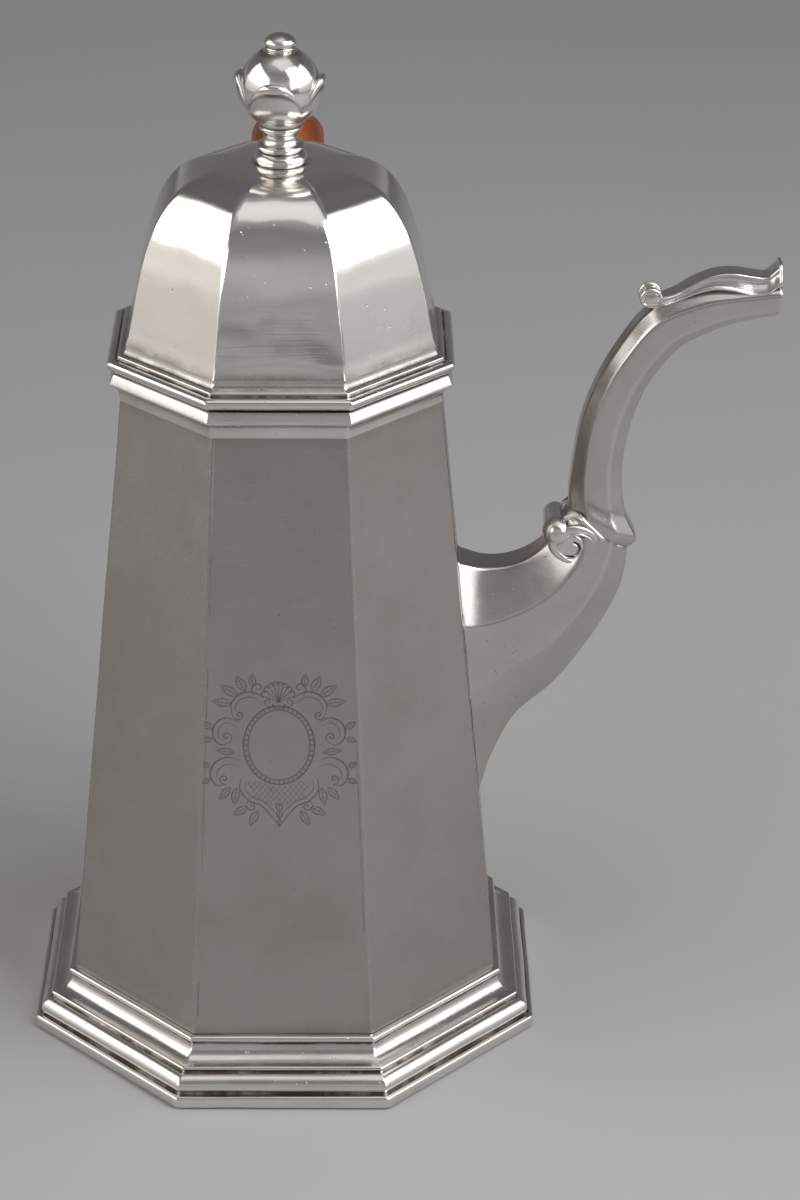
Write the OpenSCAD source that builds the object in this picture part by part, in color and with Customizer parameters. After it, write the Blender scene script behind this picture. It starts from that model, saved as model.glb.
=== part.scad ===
// Tapering octagonal coffee pot with a domed hinged cover, a facetted swan-neck
// spout and a carved wooden handle set at right angles to the spout.
// Millimetres. +Z is up, the spout points along +X and the handle along +Y.
// The origin is the centre of the underside of the foot.

/* [Body] */
// height of the foot moulding, where the body panels start
foot_h = 15.8; // [12:0.1:24]
// height at which the body panels end and the rim moulding starts
body_top_z = 169.7; // [140:0.1:190]
// centre to flat of the octagon at the bottom of the panels
body_bottom_flat = 53.45; // [50:0.05:60]
// centre to flat of the octagon at the top of the panels
body_top_flat = 38.35; // [36:0.05:42]
// thickness of the silver sheet of the body
body_wall = 1.2; // [1:0.1:2]

/* [Foot] */
// how far the foot spreads past the bottom of the panels
foot_spread = 10.45; // [8:0.05:14]
// height of the plain band that stands on the table
foot_band_h = 3.75; // [3:0.05:4.5]
// thickness of the hollow foot moulding
foot_wall = 1.5; // [1.2:0.1:1.8]
// thickness of the plate that closes the pot
base_plate_t = 1.2; // [1:0.1:2]
// width of the ledge that carries the base plate
base_ledge = 3; // [2:0.1:4]

/* [Rim] */
// height of the rim moulding
rim_h = 7.1; // [6:0.1:10]
// how far the rim moulding stands out past the panels
rim_out = 2.5; // [1.8:0.05:3.2]
// wall of the rim moulding at its foot
rim_wall = 1.35; // [1.2:0.05:1.6]

/* [Cover] */
// gap between the resting cover and the rim
cover_gap = 0.3; // [0.25:0.05:0.6]
// height of the cover moulding
cover_band_h = 6.3; // [5.5:0.1:8]
// how far the roll of the cover moulding stands out past the rim
cover_roll_out = 0.4; // [0.2:0.05:1.2]
// height of the dome above its moulding
dome_h = 40.6; // [30:0.1:55]
// centre to flat of the dome at its foot
dome_flat = 36.4; // [34:0.05:37]
// lean of the lower dome, across per unit of height
dome_lean = 0.19; // [0:0.01:0.3]
// fullness of the dome upwards and inwards
dome_full_up = 4.3; // [2.5:0.1:7]
dome_full_in = 4.6; // [2.5:0.1:7]
// thickness of the dome
dome_wall = 1.1; // [1:0.1:1.8]
// depth of the bezel inside the rim
bezel_depth = 5; // [3:0.1:6]
// clearance between the bezel and the rim
bezel_gap = 0.5; // [0.4:0.05:0.9]
// thickness of the bezel
bezel_t = 1; // [0.8:0.1:1.4]

/* [Hinge] */
// distance of the hinge axis behind the outermost roll of the cover
hinge_back = 3.0; // [2.9:0.05:4]
// outer radius of the knuckles
knuckle_r = 2.4; // [2.2:0.05:2.7]
// radius of the hinge pin
hinge_pin_r = 0.9; // [0.7:0.05:1.1]
// running clearance round the pin
hinge_fit = 0.05; // [0.03:0.01:0.08]
// width of one knuckle
knuckle_w = 4.2; // [3:0.1:6]
// gap between two knuckles
knuckle_gap = 0.3; // [0.2:0.05:0.5]

/* [Finial] */
// radius of the round base moulding
finial_base_r = 6.45; // [5:0.05:7.4]
// radius of the narrow neck
finial_neck_r = 4.05; // [3.5:0.05:5]
// height from the dome to the middle of the ball
finial_ball_up = 18.5; // [17.9:0.1:24]
// radius of the ball
finial_ball_r = 9.4; // [8.6:0.1:9.8]
// radius of the lobes that cup the ball
lobe_r = 6.6; // [6.3:0.05:6.8]
// how far the middle of the lobes lies below the middle of the ball
lobe_drop = 4; // [3.5:0.1:4.5]
// thickness of the cup
cup_t = 0.7; // [0.5:0.05:1]
// radius of the button
button_r = 3.8; // [3:0.05:5]
// height of the button with its collar
button_h = 4.1; // [3.4:0.1:6]
// radius of the stud that holds the finial
stud_r = 1.6; // [1.2:0.05:2]
// clearance round the stud and in the nut
stud_fit = 0.1; // [0.05:0.01:0.2]
// width across the flats of the nut
nut_flat = 7; // [6:0.1:9]

/* [Spout] */
// height at which the middle of the spout leaves the body
spout_z = 90; // [84:0.5:96]
// how far the mouth stands out from the body panel at that height
spout_reach = 73.2; // [68:0.2:78]
// how far the tip of the lip stands above that height
spout_rise = 108.3; // [102:0.1:112]
// half width of the spout at the body
root_half_w = 10.6; // [9:0.1:12]
// half width at the joint of root and neck
joint_half_w = 7.4; // [6.8:0.1:8]
// half width of the neck
neck_half_w = 6.1; // [5.6:0.1:6.6]
// half width at the mouth
mouth_half_w = 5.4; // [5:0.1:6]
// thickness of the cast spout
spout_wall = 1.25; // [1:0.05:1.6]
// radius of the roll between root and neck
roll_r = 3.3; // [2.6:0.1:3.8]
// half length of that roll
roll_half_l = 7.6; // [6:0.1:8.4]
// radius of the small roll that starts the lip moulding
lip_roll_r = 2.5; // [2:0.1:3]
// half width of the lip moulding at its foot
lip_half_w = 3.9; // [3.4:0.1:4.6]
// half width of the lip moulding at its top
lip_top_half_w = 2.75; // [2:0.05:3.3]
// diameter of one strainer hole
strainer_d = 3; // [2:0.1:3.6]
// distance between strainer holes
strainer_pitch = 5; // [4.4:0.1:5.6]

/* [Handle] */
// height at which the upper socket leaves the body
upper_z = 153; // [148:0.5:156]
// slope of the upper socket above level, in degrees
upper_slope = 40; // [34:1:46]
// height at which the lower socket leaves the body
lower_z = 62; // [52:0.5:72]
// slope of the lower socket above level, in degrees
lower_slope = 12; // [4:1:20]
// length of the sockets from the panel
upper_socket_l = 21; // [17:0.5:24]
lower_socket_l = 18; // [14:0.5:22]
// radius of the wood where it enters the sockets
upper_tenon_r = 7.6; // [6.8:0.1:8.2]
lower_tenon_r = 5.6; // [5:0.1:6.2]
// depth to which the wood enters the sockets
tenon_depth = 12; // [9:0.5:13]
// wall of the sockets
socket_wall = 1.3; // [1:0.1:1.8]
// clearance between the wood and the socket bore
tenon_fit = 0.1; // [0.05:0.01:0.2]
// half width of the wood at the top of its loop
handle_half_w = 9.7; // [8:0.1:10.5]
// half depth of the wood at the top of its loop
handle_half_d = 7.4; // [6.5:0.1:8.5]
// half width and depth of the wood near its lower end
handle_low_w = 6.6; // [5.6:0.1:7.5]
// how far the loop reaches behind the body's axis
handle_reach = 108; // [102:0.5:116]
// height of the top of the loop, at the middle of the wood
handle_top_z = 202; // [196:0.5:206]
// radius of the pins through the sockets
socket_pin_r = 1.2; // [0.9:0.05:1.6]
// clearance round those pins
socket_pin_fit = 0.03; // [0.02:0.01:0.06]

/* [Hidden] */
$fn = 48;
eps = 0.01;
c8 = cos(22.5);
rim_z = body_top_z;
rim_top_z = rim_z + rim_h;
rim_in_flat = body_top_flat - rim_wall;
rim_out_flat = body_top_flat + rim_out;
cover_z = rim_top_z + cover_gap;
roll_flat = rim_out_flat + cover_roll_out;
dome_z = cover_z + cover_band_h;
dome_top_z = dome_z + dome_h;
plateau_flat = finial_base_r + 1.6;
bezel_flat = rim_in_flat - bezel_gap;
hinge_y = roll_flat + hinge_back;
hinge_z = (rim_top_z + cover_z) / 2;
knuckle_pitch = knuckle_w + knuckle_gap;
hinge_w = 5 * knuckle_w + 4 * knuckle_gap;
ball_z = dome_top_z + finial_ball_up;
ball_cut = finial_ball_r - 0.9;
button_z = ball_z + ball_cut;
foot_flat = body_bottom_flat + foot_spread;

// flat of the panels at a height
function body_flat(z) = body_bottom_flat
  + (body_top_flat - body_bottom_flat) * (z - foot_h) / (body_top_z - foot_h);

// smooth curve through stations, each a vector of equal length
function curve(a, b, c, d, t) = 0.5 * (2 * b + (c - a) * t
  + (2 * a - 5 * b + 4 * c - d) * t * t + (3 * b - a - 3 * c + d) * t * t * t);
function along(p, u) = let (n = len(p) - 1, i = min(floor(u), n - 1), t = u - i)
  curve(p[max(i - 1, 0)], p[i], p[i + 1], p[min(i + 2, n)], t);
function unit(v) = v / norm(v);

// an outline moved inwards by t, for open outlines that run upwards
function inset(p, t) = [for (i = [0:len(p) - 1])
  let (d = unit(p[min(i + 1, len(p) - 1)] - p[max(i - 1, 0)]))
  p[i] - t * [d[1], -d[0]]];

// octagonal turning: the first number of a point is the distance to the flat
module octagon_turn(p)
  rotate([0, 0, 22.5]) rotate_extrude($fn = 8) polygon([for (q = p) [q[0] / c8, q[1]]]);
module octagon_plate(flat, z, h)
  translate([0, 0, z]) linear_extrude(h) rotate(22.5) circle(r = flat / c8, $fn = 8);

// closed skin over rings of equal length
module skin(rings) {
  n = len(rings[0]);
  m = len(rings);
  polyhedron(points = [for (r = rings) each r],
    faces = concat([[for (i = [n - 1:-1:0]) i]], [[for (i = [0:n - 1]) (m - 1) * n + i]],
      [for (j = [0:m - 2], i = [0:n - 1]) let (k = (i + 1) % n)
        [j * n + i, j * n + k, (j + 1) * n + k]],
      [for (j = [0:m - 2], i = [0:n - 1]) let (k = (i + 1) % n)
        [j * n + i, (j + 1) * n + k, (j + 1) * n + i]]), convexity = 8);
}

// ---------------------------------------------------------------- body
module body_solid(less = 0, low = 0, high = 0) {
  z0 = foot_h - low;
  z1 = body_top_z + high;
  translate([0, 0, z0]) rotate(22.5)
    cylinder(h = z1 - z0, r1 = (body_flat(z0) - less) / c8, r2 = (body_flat(z1) - less) / c8, $fn = 8);
}
// pierced field of small holes through the panel behind the spout
module strainer() {
  for (row = [-2:2]) for (col = [0:4 - abs(row)])
    translate([body_flat(spout_z) - 8, (col - (4 - abs(row)) / 2) * strainer_pitch,
      spout_z + 6 + row * strainer_pitch * 0.87])
      rotate([0, 90, 0]) cylinder(h = 16, d = strainer_d, $fn = 24);
}
module body() color("silver") difference() {
  body_solid();
  body_solid(less = body_wall, low = 1, high = 1);
  strainer();
}

// ---------------------------------------------------------------- foot
// mitred moulding: plain band, ovolo, bead, cove and a top bead under the panels
b0 = body_bottom_flat;
s0 = foot_spread / 10.45;
f0 = foot_band_h;
g0 = (foot_h - foot_band_h) / 12.05;
foot_outer = [[b0 + 9.45 * s0, 0], [b0 + 10.15 * s0, 0.4], [b0 + foot_spread, 1.4],
  [b0 + foot_spread, f0 - 0.85], [b0 + 9.95 * s0, f0], [b0 + 8.65 * s0, f0],
  [b0 + 8.6 * s0, f0 + 0.3 * g0], [b0 + 8.85 * s0, f0 + 0.9 * g0],
  [b0 + 8.9 * s0, f0 + 1.7 * g0], [b0 + 8.6 * s0, f0 + 2.65 * g0],
  [b0 + 7.95 * s0, f0 + 3.5 * g0], [b0 + 7.05 * s0, f0 + 4.15 * g0],
  [b0 + 6 * s0, f0 + 4.5 * g0], [b0 + 5.65 * s0, f0 + 4.75 * g0],
  [b0 + 5.95 * s0, f0 + 4.95 * g0], [b0 + 6.25 * s0, f0 + 5.35 * g0],
  [b0 + 6.2 * s0, f0 + 5.85 * g0], [b0 + 5.8 * s0, f0 + 6.15 * g0],
  [b0 + 5.2 * s0, f0 + 6.2 * g0], [b0 + 4.1 * s0, f0 + 6.35 * g0],
  [b0 + 2.9 * s0, f0 + 6.85 * g0], [b0 + 1.95 * s0, f0 + 7.6 * g0],
  [b0 + 1.35 * s0, f0 + 8.5 * g0], [b0 + 1.1 * s0, f0 + 9.4 * g0],
  [b0 + 1.1 * s0, f0 + 10.1 * g0], [b0 + 1.6 * s0, f0 + 10.4 * g0],
  [b0 + 1.85 * s0, f0 + 11 * g0], [b0 + 1.55 * s0, f0 + 11.75 * g0],
  [b0 + 0.9 * s0, foot_h]];
ledge_flat = body_bottom_flat - body_wall - base_ledge;
foot_inner = [[ledge_flat, foot_h], [ledge_flat, foot_h - foot_wall],
  [b0 + 1.05 * s0 - foot_wall, foot_h - foot_wall], [b0 + 1.05 * s0 - foot_wall, f0 + 9 * g0],
  [b0 + 1.9 * s0 - 0.8 * foot_wall, f0 + 7.5 * g0 - 0.6 * foot_wall],
  [b0 + 2.9 * s0 - 0.4 * foot_wall, f0 + 6.75 * g0 - 0.9 * foot_wall],
  [b0 + 4.9 * s0 - 0.5 * foot_wall, f0 + 5.65 * g0 - 0.65 * foot_wall],
  [b0 + 6.1 * s0 - 0.6 * foot_wall, f0 + 4.4 * g0 - 0.7 * foot_wall],
  [b0 + 7.9 * s0 - 0.7 * foot_wall, f0 + 3.4 * g0 - 0.65 * foot_wall],
  [b0 + 8.85 * s0 - foot_wall, f0 + 1.6 * g0], [b0 + 8.7 * s0 - foot_wall, f0],
  [b0 + 9.2 * s0 - foot_wall, f0 - foot_wall],
  [b0 + 9.45 * s0 - foot_wall, f0 - foot_wall], [b0 + 9.45 * s0 - foot_wall, 0]];
foot_under = [[foot_inner[len(foot_inner) - 1][0], -1], [foot_outer[0][0], -1]];
module foot_moulding() color("silver") difference() {
  octagon_turn(concat(foot_outer, foot_inner, foot_under));
  translate([0, 0, -5]) cylinder(h = 5, r = foot_flat * 1.3);
}
module base_plate() color("gainsboro")
  octagon_plate(body_flat(foot_h + base_plate_t) - body_wall - 0.15, foot_h, base_plate_t);

// ---------------------------------------------------------------- rim
r0 = body_top_flat;
e0 = rim_out / 2.5;
h0 = rim_h / 7.1;
rim_outer = [[r0 + 0.15 * e0, 0], [r0 + 0.15 * e0, 0.8 * h0], [r0 + 0.3 * e0, 1.8 * h0],
  [r0 + 0.65 * e0, 2.65 * h0], [r0 + 1.15 * e0, 3.35 * h0], [r0 + 1.75 * e0, 3.8 * h0],
  [r0 + 2.3 * e0, 4.05 * h0], [r0 + rim_out, 4.45 * h0], [r0 + 2.4 * e0, 4.9 * h0],
  [r0 + 1.65 * e0, 6.6 * h0], [r0 + 1.4 * e0, 6.95 * h0], [r0 + e0, rim_h]];
module rim_moulding() color("silver") translate([0, 0, rim_z])
  octagon_turn(concat(rim_outer, [[rim_in_flat, rim_h], [rim_in_flat, 0]]));

// ---------------------------------------------------------------- cover
q0 = cover_band_h / 6.3;
band_in = bezel_flat;
band_outer = [[roll_flat - 1.7, 0], [roll_flat - 0.95, 0.35 * q0], [roll_flat - 0.3, 0.95 * q0],
  [roll_flat, 1.7 * q0], [roll_flat - 0.05, 2.3 * q0], [roll_flat - 0.4, 2.8 * q0],
  [roll_flat - 1.05, 3.1 * q0], [roll_flat - 1.9, 3.15 * q0], [roll_flat - 2.45, 3.25 * q0],
  [roll_flat - 2.5, 3.55 * q0], [roll_flat - 2.45, 3.85 * q0], [roll_flat - 2.7, 4.15 * q0],
  [roll_flat - 3.15, 4.2 * q0], [roll_flat - 3.6, 4.35 * q0], [roll_flat - 4.05, 4.75 * q0],
  [roll_flat - 4.35, 5.4 * q0], [dome_flat + 0.35, cover_band_h]];
module cover_moulding() color("silver") translate([0, 0, cover_z])
  octagon_turn(concat(band_outer,
    [[dome_flat - dome_wall, cover_band_h], [band_in, 4.6 * q0], [band_in, 0]]));
module cover_bezel() color("gainsboro") difference() {
  octagon_plate(bezel_flat, rim_top_z - bezel_depth, bezel_depth + cover_gap + 4.6 * q0);
  octagon_plate(bezel_flat - bezel_t, rim_top_z - bezel_depth - 1, bezel_depth + cover_band_h + 2);
}

// dome outline: a leaning side that rounds over to a small flat for the finial
function dome_at(h) = (dome_flat - dome_lean * h * dome_h)
  * pow(max(0, 1 - pow(h, dome_full_up)), 1 / dome_full_in);
dome_n = 20;
dome_line = concat([[dome_flat + 0.3, 0]],
  [for (i = [1:dome_n]) let (h = 1 - pow(1 - i / dome_n, 2.4), a = dome_at(h))
    if (a > plateau_flat + 1) [a, h * dome_h]], [[plateau_flat, dome_h]]);
dome_inner = inset(dome_line, dome_wall);
module cover_dome() color("silver") translate([0, 0, dome_z]) difference() {
  octagon_turn(concat(dome_line, [[0, dome_h], [0, dome_h - dome_wall],
    [plateau_flat - 0.6, dome_h - dome_wall]],
    [for (i = [len(dome_line) - 2:-1:1]) dome_inner[i]], [[dome_flat - dome_wall, 0]]));
  translate([0, 0, dome_h - 4]) cylinder(h = 8, r = stud_r + stud_fit);
}

// ---------------------------------------------------------------- hinge
module knuckle(i) translate([-hinge_w / 2 + i * knuckle_pitch, hinge_y, hinge_z])
  rotate([0, 90, 0]) cylinder(h = knuckle_w, r = knuckle_r, $fn = 36);
module hinge_bore() translate([-hinge_w, hinge_y, hinge_z])
  rotate([0, 90, 0]) cylinder(h = 2 * hinge_w, r = hinge_pin_r + hinge_fit, $fn = 36);
// web between a knuckle and the moulding in front of it
module web(i, y0, z0, z1) translate([-hinge_w / 2 + i * knuckle_pitch, y0, z0])
  cube([knuckle_w, hinge_y - y0, z1 - z0]);
module hinge_leaf_body() color("gainsboro") difference() {
  for (i = [0, 2, 4]) union() {
    knuckle(i);
    web(i, rim_in_flat + rim_wall + 0.2, hinge_z - knuckle_r, hinge_z - 0.4);
  }
  hinge_bore();
  translate([0, 0, rim_z]) octagon_turn(concat(rim_outer, [[0, rim_h], [0, 0]]));
}
module hinge_leaf_cover() color("gainsboro") difference() {
  for (i = [1, 3]) union() {
    knuckle(i);
    web(i, roll_flat - 2.4, hinge_z + 0.6, hinge_z + knuckle_r);
  }
  hinge_bore();
  translate([0, 0, cover_z]) octagon_turn(concat(band_outer, [[0, cover_band_h], [0, 0]]));
}
module hinge_pin() color("gainsboro") translate([0, hinge_y, hinge_z]) rotate([0, 90, 0]) {
  cylinder(h = hinge_w, r = hinge_pin_r, center = true, $fn = 36);
  for (s = [-1, 1]) translate([0, 0, s * (hinge_w / 2 + 0.35)])
    cylinder(h = 0.7, r = hinge_pin_r + 0.7, center = true, $fn = 36);
}

// ---------------------------------------------------------------- finial
stem_h = finial_ball_up - finial_ball_r * 0.92;
n0 = finial_neck_r;
cup_seat_r = n0 + 0.75;
module finial_stem() color("silver") translate([0, 0, dome_top_z]) {
  difference() {
    rotate_extrude() polygon([[0, 0], [finial_base_r - 0.35, 0], [finial_base_r - 0.08, 0.35],
      [finial_base_r, 0.9], [finial_base_r - 0.1, 1.5], [finial_base_r - 0.55, 2.2],
      [finial_base_r - 1.2, 2.7], [n0 + 0.9, 2.85], [n0 + 0.9, 3.2], [n0 + 1.4, 3.35],
      [n0 + 1.7, 3.7], [n0 + 1.7, 4.1], [n0 + 1.4, 4.5], [n0 + 0.7, 4.75], [n0 + 0.25, 5.3],
      [n0, 6], [n0, 6.6], [n0 + 0.25, 7.3], [n0 + 0.65, stem_h - 2.2],
      [n0 + 0.75, stem_h - 1.9], [n0 + 1, stem_h - 1.6], [n0 + 1, stem_h - 1.1],
      [n0 + 0.7, stem_h - 0.8], [cup_seat_r - 0.1, stem_h - 0.6], [cup_seat_r - 0.1, stem_h + 2],
      [0, stem_h + 2]]);
    translate([0, 0, finial_ball_up]) sphere(r = finial_ball_r + cup_t + 0.05);
  }
  translate([0, 0, -dome_wall - 6]) cylinder(h = 7 + dome_wall, r = stud_r);
}
module finial_ball() color("silver") translate([0, 0, ball_z]) difference() {
  sphere(r = finial_ball_r, $fn = 64);
  translate([0, 0, ball_cut + 5]) cube([40, 40, 10], center = true);
}
// cup of four round lobes that reach up the ball from the stem
module finial_cup() color("silver") translate([0, 0, ball_z]) difference() {
  intersection() {
    sphere(r = finial_ball_r + cup_t, $fn = 64);
    union() {
      translate([0, 0, -lobe_drop - 10]) cylinder(h = 10, r = 20);
      for (a = [0:90:270]) rotate([0, 0, a]) translate([0, 0, -lobe_drop])
        rotate([90, 0, 0]) cylinder(h = 20, r = lobe_r, $fn = 48);
    }
  }
  sphere(r = finial_ball_r + 0.05, $fn = 64);
}
module finial_button() color("silver") translate([0, 0, button_z])
  rotate_extrude() polygon([[0, 0], [button_r - 0.5, 0], [button_r - 0.35, 0.25],
    [button_r - 0.35, 0.75], [button_r - 0.6, 1.05], [button_r - 0.2, 1.35],
    [button_r, 1.9], [button_r - 0.15, 2.4], [button_r - 0.75, 3.1],
    [button_r - 1.8, button_h - 0.35], [button_r - 3, button_h - 0.03], [0, button_h]]);
module finial_nut() color("gainsboro") translate([0, 0, dome_top_z - dome_wall - 3.2]) difference() {
  cylinder(h = 3.2, r = nut_flat / 2 / cos(30), $fn = 6);
  translate([0, 0, -1]) cylinder(h = 6, r = stud_r + stud_fit);
}

// ---------------------------------------------------------------- spout
// A station is top x, top z, bottom x, bottom z, then the half widths of the top,
// the side and the bottom flat, and where the side flat starts and ends.
reach_k = spout_reach / 73.2;
rise_k = spout_rise / 108.3;
wr = root_half_w;
wj = joint_half_w;
wn = neck_half_w;
wm = mouth_half_w;
function at(x, z) = [body_flat(spout_z) + (x - 46.17) * reach_k, spout_z + (z - 90) * rise_k];
function station(t, b, wt, w, wb, f1, f2) = concat(t, b, [wt, w, wb, f1, f2]);
root_top_z = spout_z + 32 * rise_k;
root_low_z = spout_z - 34 * rise_k;
root_stations = [
  station([body_flat(root_top_z) - 3, root_top_z], [body_flat(root_low_z) - 3, root_low_z],
    wr * 0.42, wr, wr * 0.2, 0.22, 0.52),
  station([body_flat(root_top_z), root_top_z], [body_flat(root_low_z), root_low_z],
    wr * 0.42, wr, wr * 0.2, 0.22, 0.52),
  station(at(49, 120.4), at(52.3, 66.5), wr * 0.42, wr, wr * 0.3, 0.24, 0.54),
  station(at(55, 120.7), at(58.2, 79), wr * 0.42, wr * 0.99, wr * 0.36, 0.27, 0.58),
  station(at(60.5, 122.8), at(68, 88.9), wr * 0.4, wr * 0.95, wr * 0.4, 0.29, 0.63),
  station(at(65.2, 126.8), at(77.4, 102), lerp2(wr, wj, 0.5) * 0.4, lerp2(wr, wj, 0.5), wj * 0.46,
    0.33, 0.66),
  station(at(68.6, 131.8), at(83.4, 114.5), wj * 0.42, wj * 1.06, wj * 0.44, 0.34, 0.68),
  station(at(70.3, 136.4), at(85, 125.3), wj * 0.42, wj, wj * 0.42, 0.29, 0.71)];
neck_stations = [
  station(at(70.3, 136.4), at(85, 125.3), wj * 0.42, wj, wj * 0.42, 0.29, 0.71),
  station(at(70.1, 138.2), at(87, 127.8), wj * 0.42, wj * 1.02, wj * 0.42, 0.28, 0.71),
  station(at(70.2, 142), at(84.2, 134.6), wn * 0.42, wn * 1.06, wn * 0.42, 0.26, 0.71),
  station(at(70.9, 148.5), at(83, 145.5), wn * 0.42, wn * 1.02, wn * 0.42, 0.24, 0.71),
  station(at(72.2, 157.3), at(84.1, 155.6), wn * 0.42, wn, wn * 0.42, 0.225, 0.71),
  station(at(75.1, 167), at(86.7, 164.6), wn * 0.42, wn, wn * 0.42, 0.2, 0.71),
  station(at(80, 177), at(90.2, 171.2), wn * 0.42, wn, wn * 0.42, 0.19, 0.71),
  station(at(88, 187.6), at(95.8, 178.2), wn * 0.42, wn, wn * 0.42, 0.205, 0.72),
  station(at(99.5, 193), at(103.6, 182.5), wn * 0.44, wn * 0.98, wn * 0.42, 0.24, 0.74),
  station(at(110, 193.8), at(111.4, 185), wm * 0.6, wm * 1.04, wm * 0.42, 0.2, 0.74),
  station(at(119.2, 194.4), at(118.5, 186.3), wm * 0.68, wm, wm * 0.42, 0.18, 0.74)];
function lerp2(a, b, t) = a + (b - a) * t;
// eight points round one station, moved inwards by t
function oct_ring(s, t = 0) = let (a = [s[0], s[1]], b = [s[2], s[3]], d = b - a, l = norm(d),
    u = d / l, p1 = a + d * s[7] + u * 0.35 * t, p2 = a + d * s[8] - u * 0.35 * t,
    ta = a + u * t, tb = b - u * t, w0 = s[4] - 0.42 * t, w1 = s[5] - t, w2 = s[6] - 0.42 * t)
  [[ta[0], -w0, ta[1]], [ta[0], w0, ta[1]], [p1[0], w1, p1[1]], [p2[0], w1, p2[1]],
   [tb[0], w2, tb[1]], [tb[0], -w2, tb[1]], [p2[0], -w1, p2[1]], [p1[0], -w1, p1[1]]];
function rings(st, k, t = 0) = [for (i = [0:k * (len(st) - 1)]) oct_ring(along(st, i / k), t)];
function pushed(s, d) = [s[0] + d[0], s[1] + d[1], s[2] + d[0], s[3] + d[1], s[4], s[5], s[6], s[7], s[8]];
root_k = 3;
neck_k = 3;
module root_outer() skin(rings(root_stations, root_k));
module neck_outer() skin(rings(neck_stations, neck_k));
last_n = neck_stations[len(neck_stations) - 1];
last_r = root_stations[len(root_stations) - 1];
module spout_root() color("silver") difference() {
  root_outer();
  skin(concat(rings(root_stations, root_k, spout_wall),
    [oct_ring(pushed(last_r, [2, 2.6]), spout_wall)]));
  body_solid(low = 4, high = 4);
}
module spout_neck() color("silver") difference() {
  neck_outer();
  skin(concat([oct_ring(pushed(neck_stations[0], [-2, -2.6]), spout_wall)],
    rings(neck_stations, neck_k, spout_wall), [oct_ring(pushed(last_n, [4, 0.4]), spout_wall)]));
}
// barrel shaped roll across the joint, with a round eye at each end
roll_c = at(67.2, 130.2);
module spout_scroll() color("silver") difference() {
  translate([roll_c[0], 0, roll_c[1]]) rotate([90, 0, 0]) {
    rotate_extrude() polygon([[0, -roll_half_l], [roll_r * 0.72, -roll_half_l],
      [roll_r * 0.85, -roll_half_l * 0.86], [roll_r * 0.95, -roll_half_l * 0.5], [roll_r, 0],
      [roll_r * 0.95, roll_half_l * 0.5], [roll_r * 0.85, roll_half_l * 0.86],
      [roll_r * 0.72, roll_half_l], [0, roll_half_l]]);
  }
  root_outer();
  neck_outer();
}
// lip moulding: low bar over the mouth that starts in a small roll
lip_stations = [[88.4, 187.3, 190.6], [91.5, 188.4, 190.4], [95.5, 190, 192.2], [100, 191.8, 195],
  [104.5, 192.3, 196.9], [109, 191.4, 197], [113.5, 191, 196], [116.8, 192, 197.2], [119.4, 193, 198.3]];
function lip_ring(s) = let (a = at(s[0], s[1]), b = at(s[0], s[2]), m = a[1] + (b[1] - a[1]) * 0.35)
  [[a[0], -lip_half_w, a[1]], [a[0], -lip_half_w, m], [b[0], -lip_top_half_w, b[1]],
   [b[0], lip_top_half_w, b[1]], [a[0], lip_half_w, m], [a[0], lip_half_w, a[1]]];
lip_roll_c = at(88.2, 191.2);
module spout_lip() color("silver") difference() {
  union() {
    skin([for (i = [0:24]) lip_ring(along(lip_stations, i / 3))]);
    translate([lip_roll_c[0], 0, lip_roll_c[1]]) rotate([90, 0, 0])
      cylinder(h = 2 * lip_half_w, r = lip_roll_r, center = true, $fn = 36);
  }
  neck_outer();
}

// ---------------------------------------------------------------- handle
up_dir = [0, cos(upper_slope), sin(upper_slope)];
up_start = [0, body_flat(upper_z), upper_z];
up_end = up_start + up_dir * upper_socket_l;
low_dir = [0, cos(lower_slope), sin(lower_slope)];
low_start = [0, body_flat(lower_z), lower_z];
low_end = low_start + low_dir * lower_socket_l;
// everything on the pot's side of the back panel
panel_lean = atan((body_bottom_flat - body_top_flat) / (body_top_z - foot_h));
module inside_panel(p) translate(p) rotate([panel_lean, 0, 0])
  translate([-50, -60, -80]) cube([100, 60, 160]);
module socket(p, slope, l, r) difference() {
  translate(p) rotate([slope - 90, 0, 0]) rotate_extrude() polygon([[0, -14],
    [r + socket_wall + 3.4, -14], [r + socket_wall + 3.4, 0], [r + socket_wall + 1.6, l * 0.12],
    [r + socket_wall + 0.5, l * 0.3], [r + socket_wall, l * 0.55], [r + socket_wall, l - 4],
    [r + socket_wall + 0.9, l - 3.4], [r + socket_wall + 1.1, l - 2.4],
    [r + socket_wall + 0.5, l - 1.7], [r + socket_wall + 0.9, l - 1.1],
    [r + socket_wall + 0.7, l - 0.3], [r + socket_wall + 0.2, l], [0, l]]);
  translate(p) rotate([slope - 90, 0, 0]) translate([0, 0, l - tenon_depth - 0.5])
    cylinder(h = tenon_depth + 2, r = r + tenon_fit);
  pin_hole(p, slope, l);
  inside_panel(p);
}
module pin_hole(p, slope, l) translate(p) rotate([slope - 90, 0, 0])
  translate([0, 0, l - tenon_depth / 2 - 1.5]) rotate([0, 90, 0])
  cylinder(h = 60, r = socket_pin_r + socket_pin_fit, center = true, $fn = 24);
module socket_pin(p, slope, l, r) translate(p) rotate([slope - 90, 0, 0])
  translate([0, 0, l - tenon_depth / 2 - 1.5]) rotate([0, 90, 0])
  cylinder(h = 2 * (r + socket_wall + 0.2), r = socket_pin_r, center = true, $fn = 24);
module upper_socket() color("silver") socket(up_start, upper_slope, upper_socket_l, upper_tenon_r);
module lower_socket() color("silver") socket(low_start, lower_slope, lower_socket_l, lower_tenon_r);
module upper_pin() color("gainsboro") socket_pin(up_start, upper_slope, upper_socket_l, upper_tenon_r);
module lower_pin() color("gainsboro") socket_pin(low_start, lower_slope, lower_socket_l, lower_tenon_r);

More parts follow.
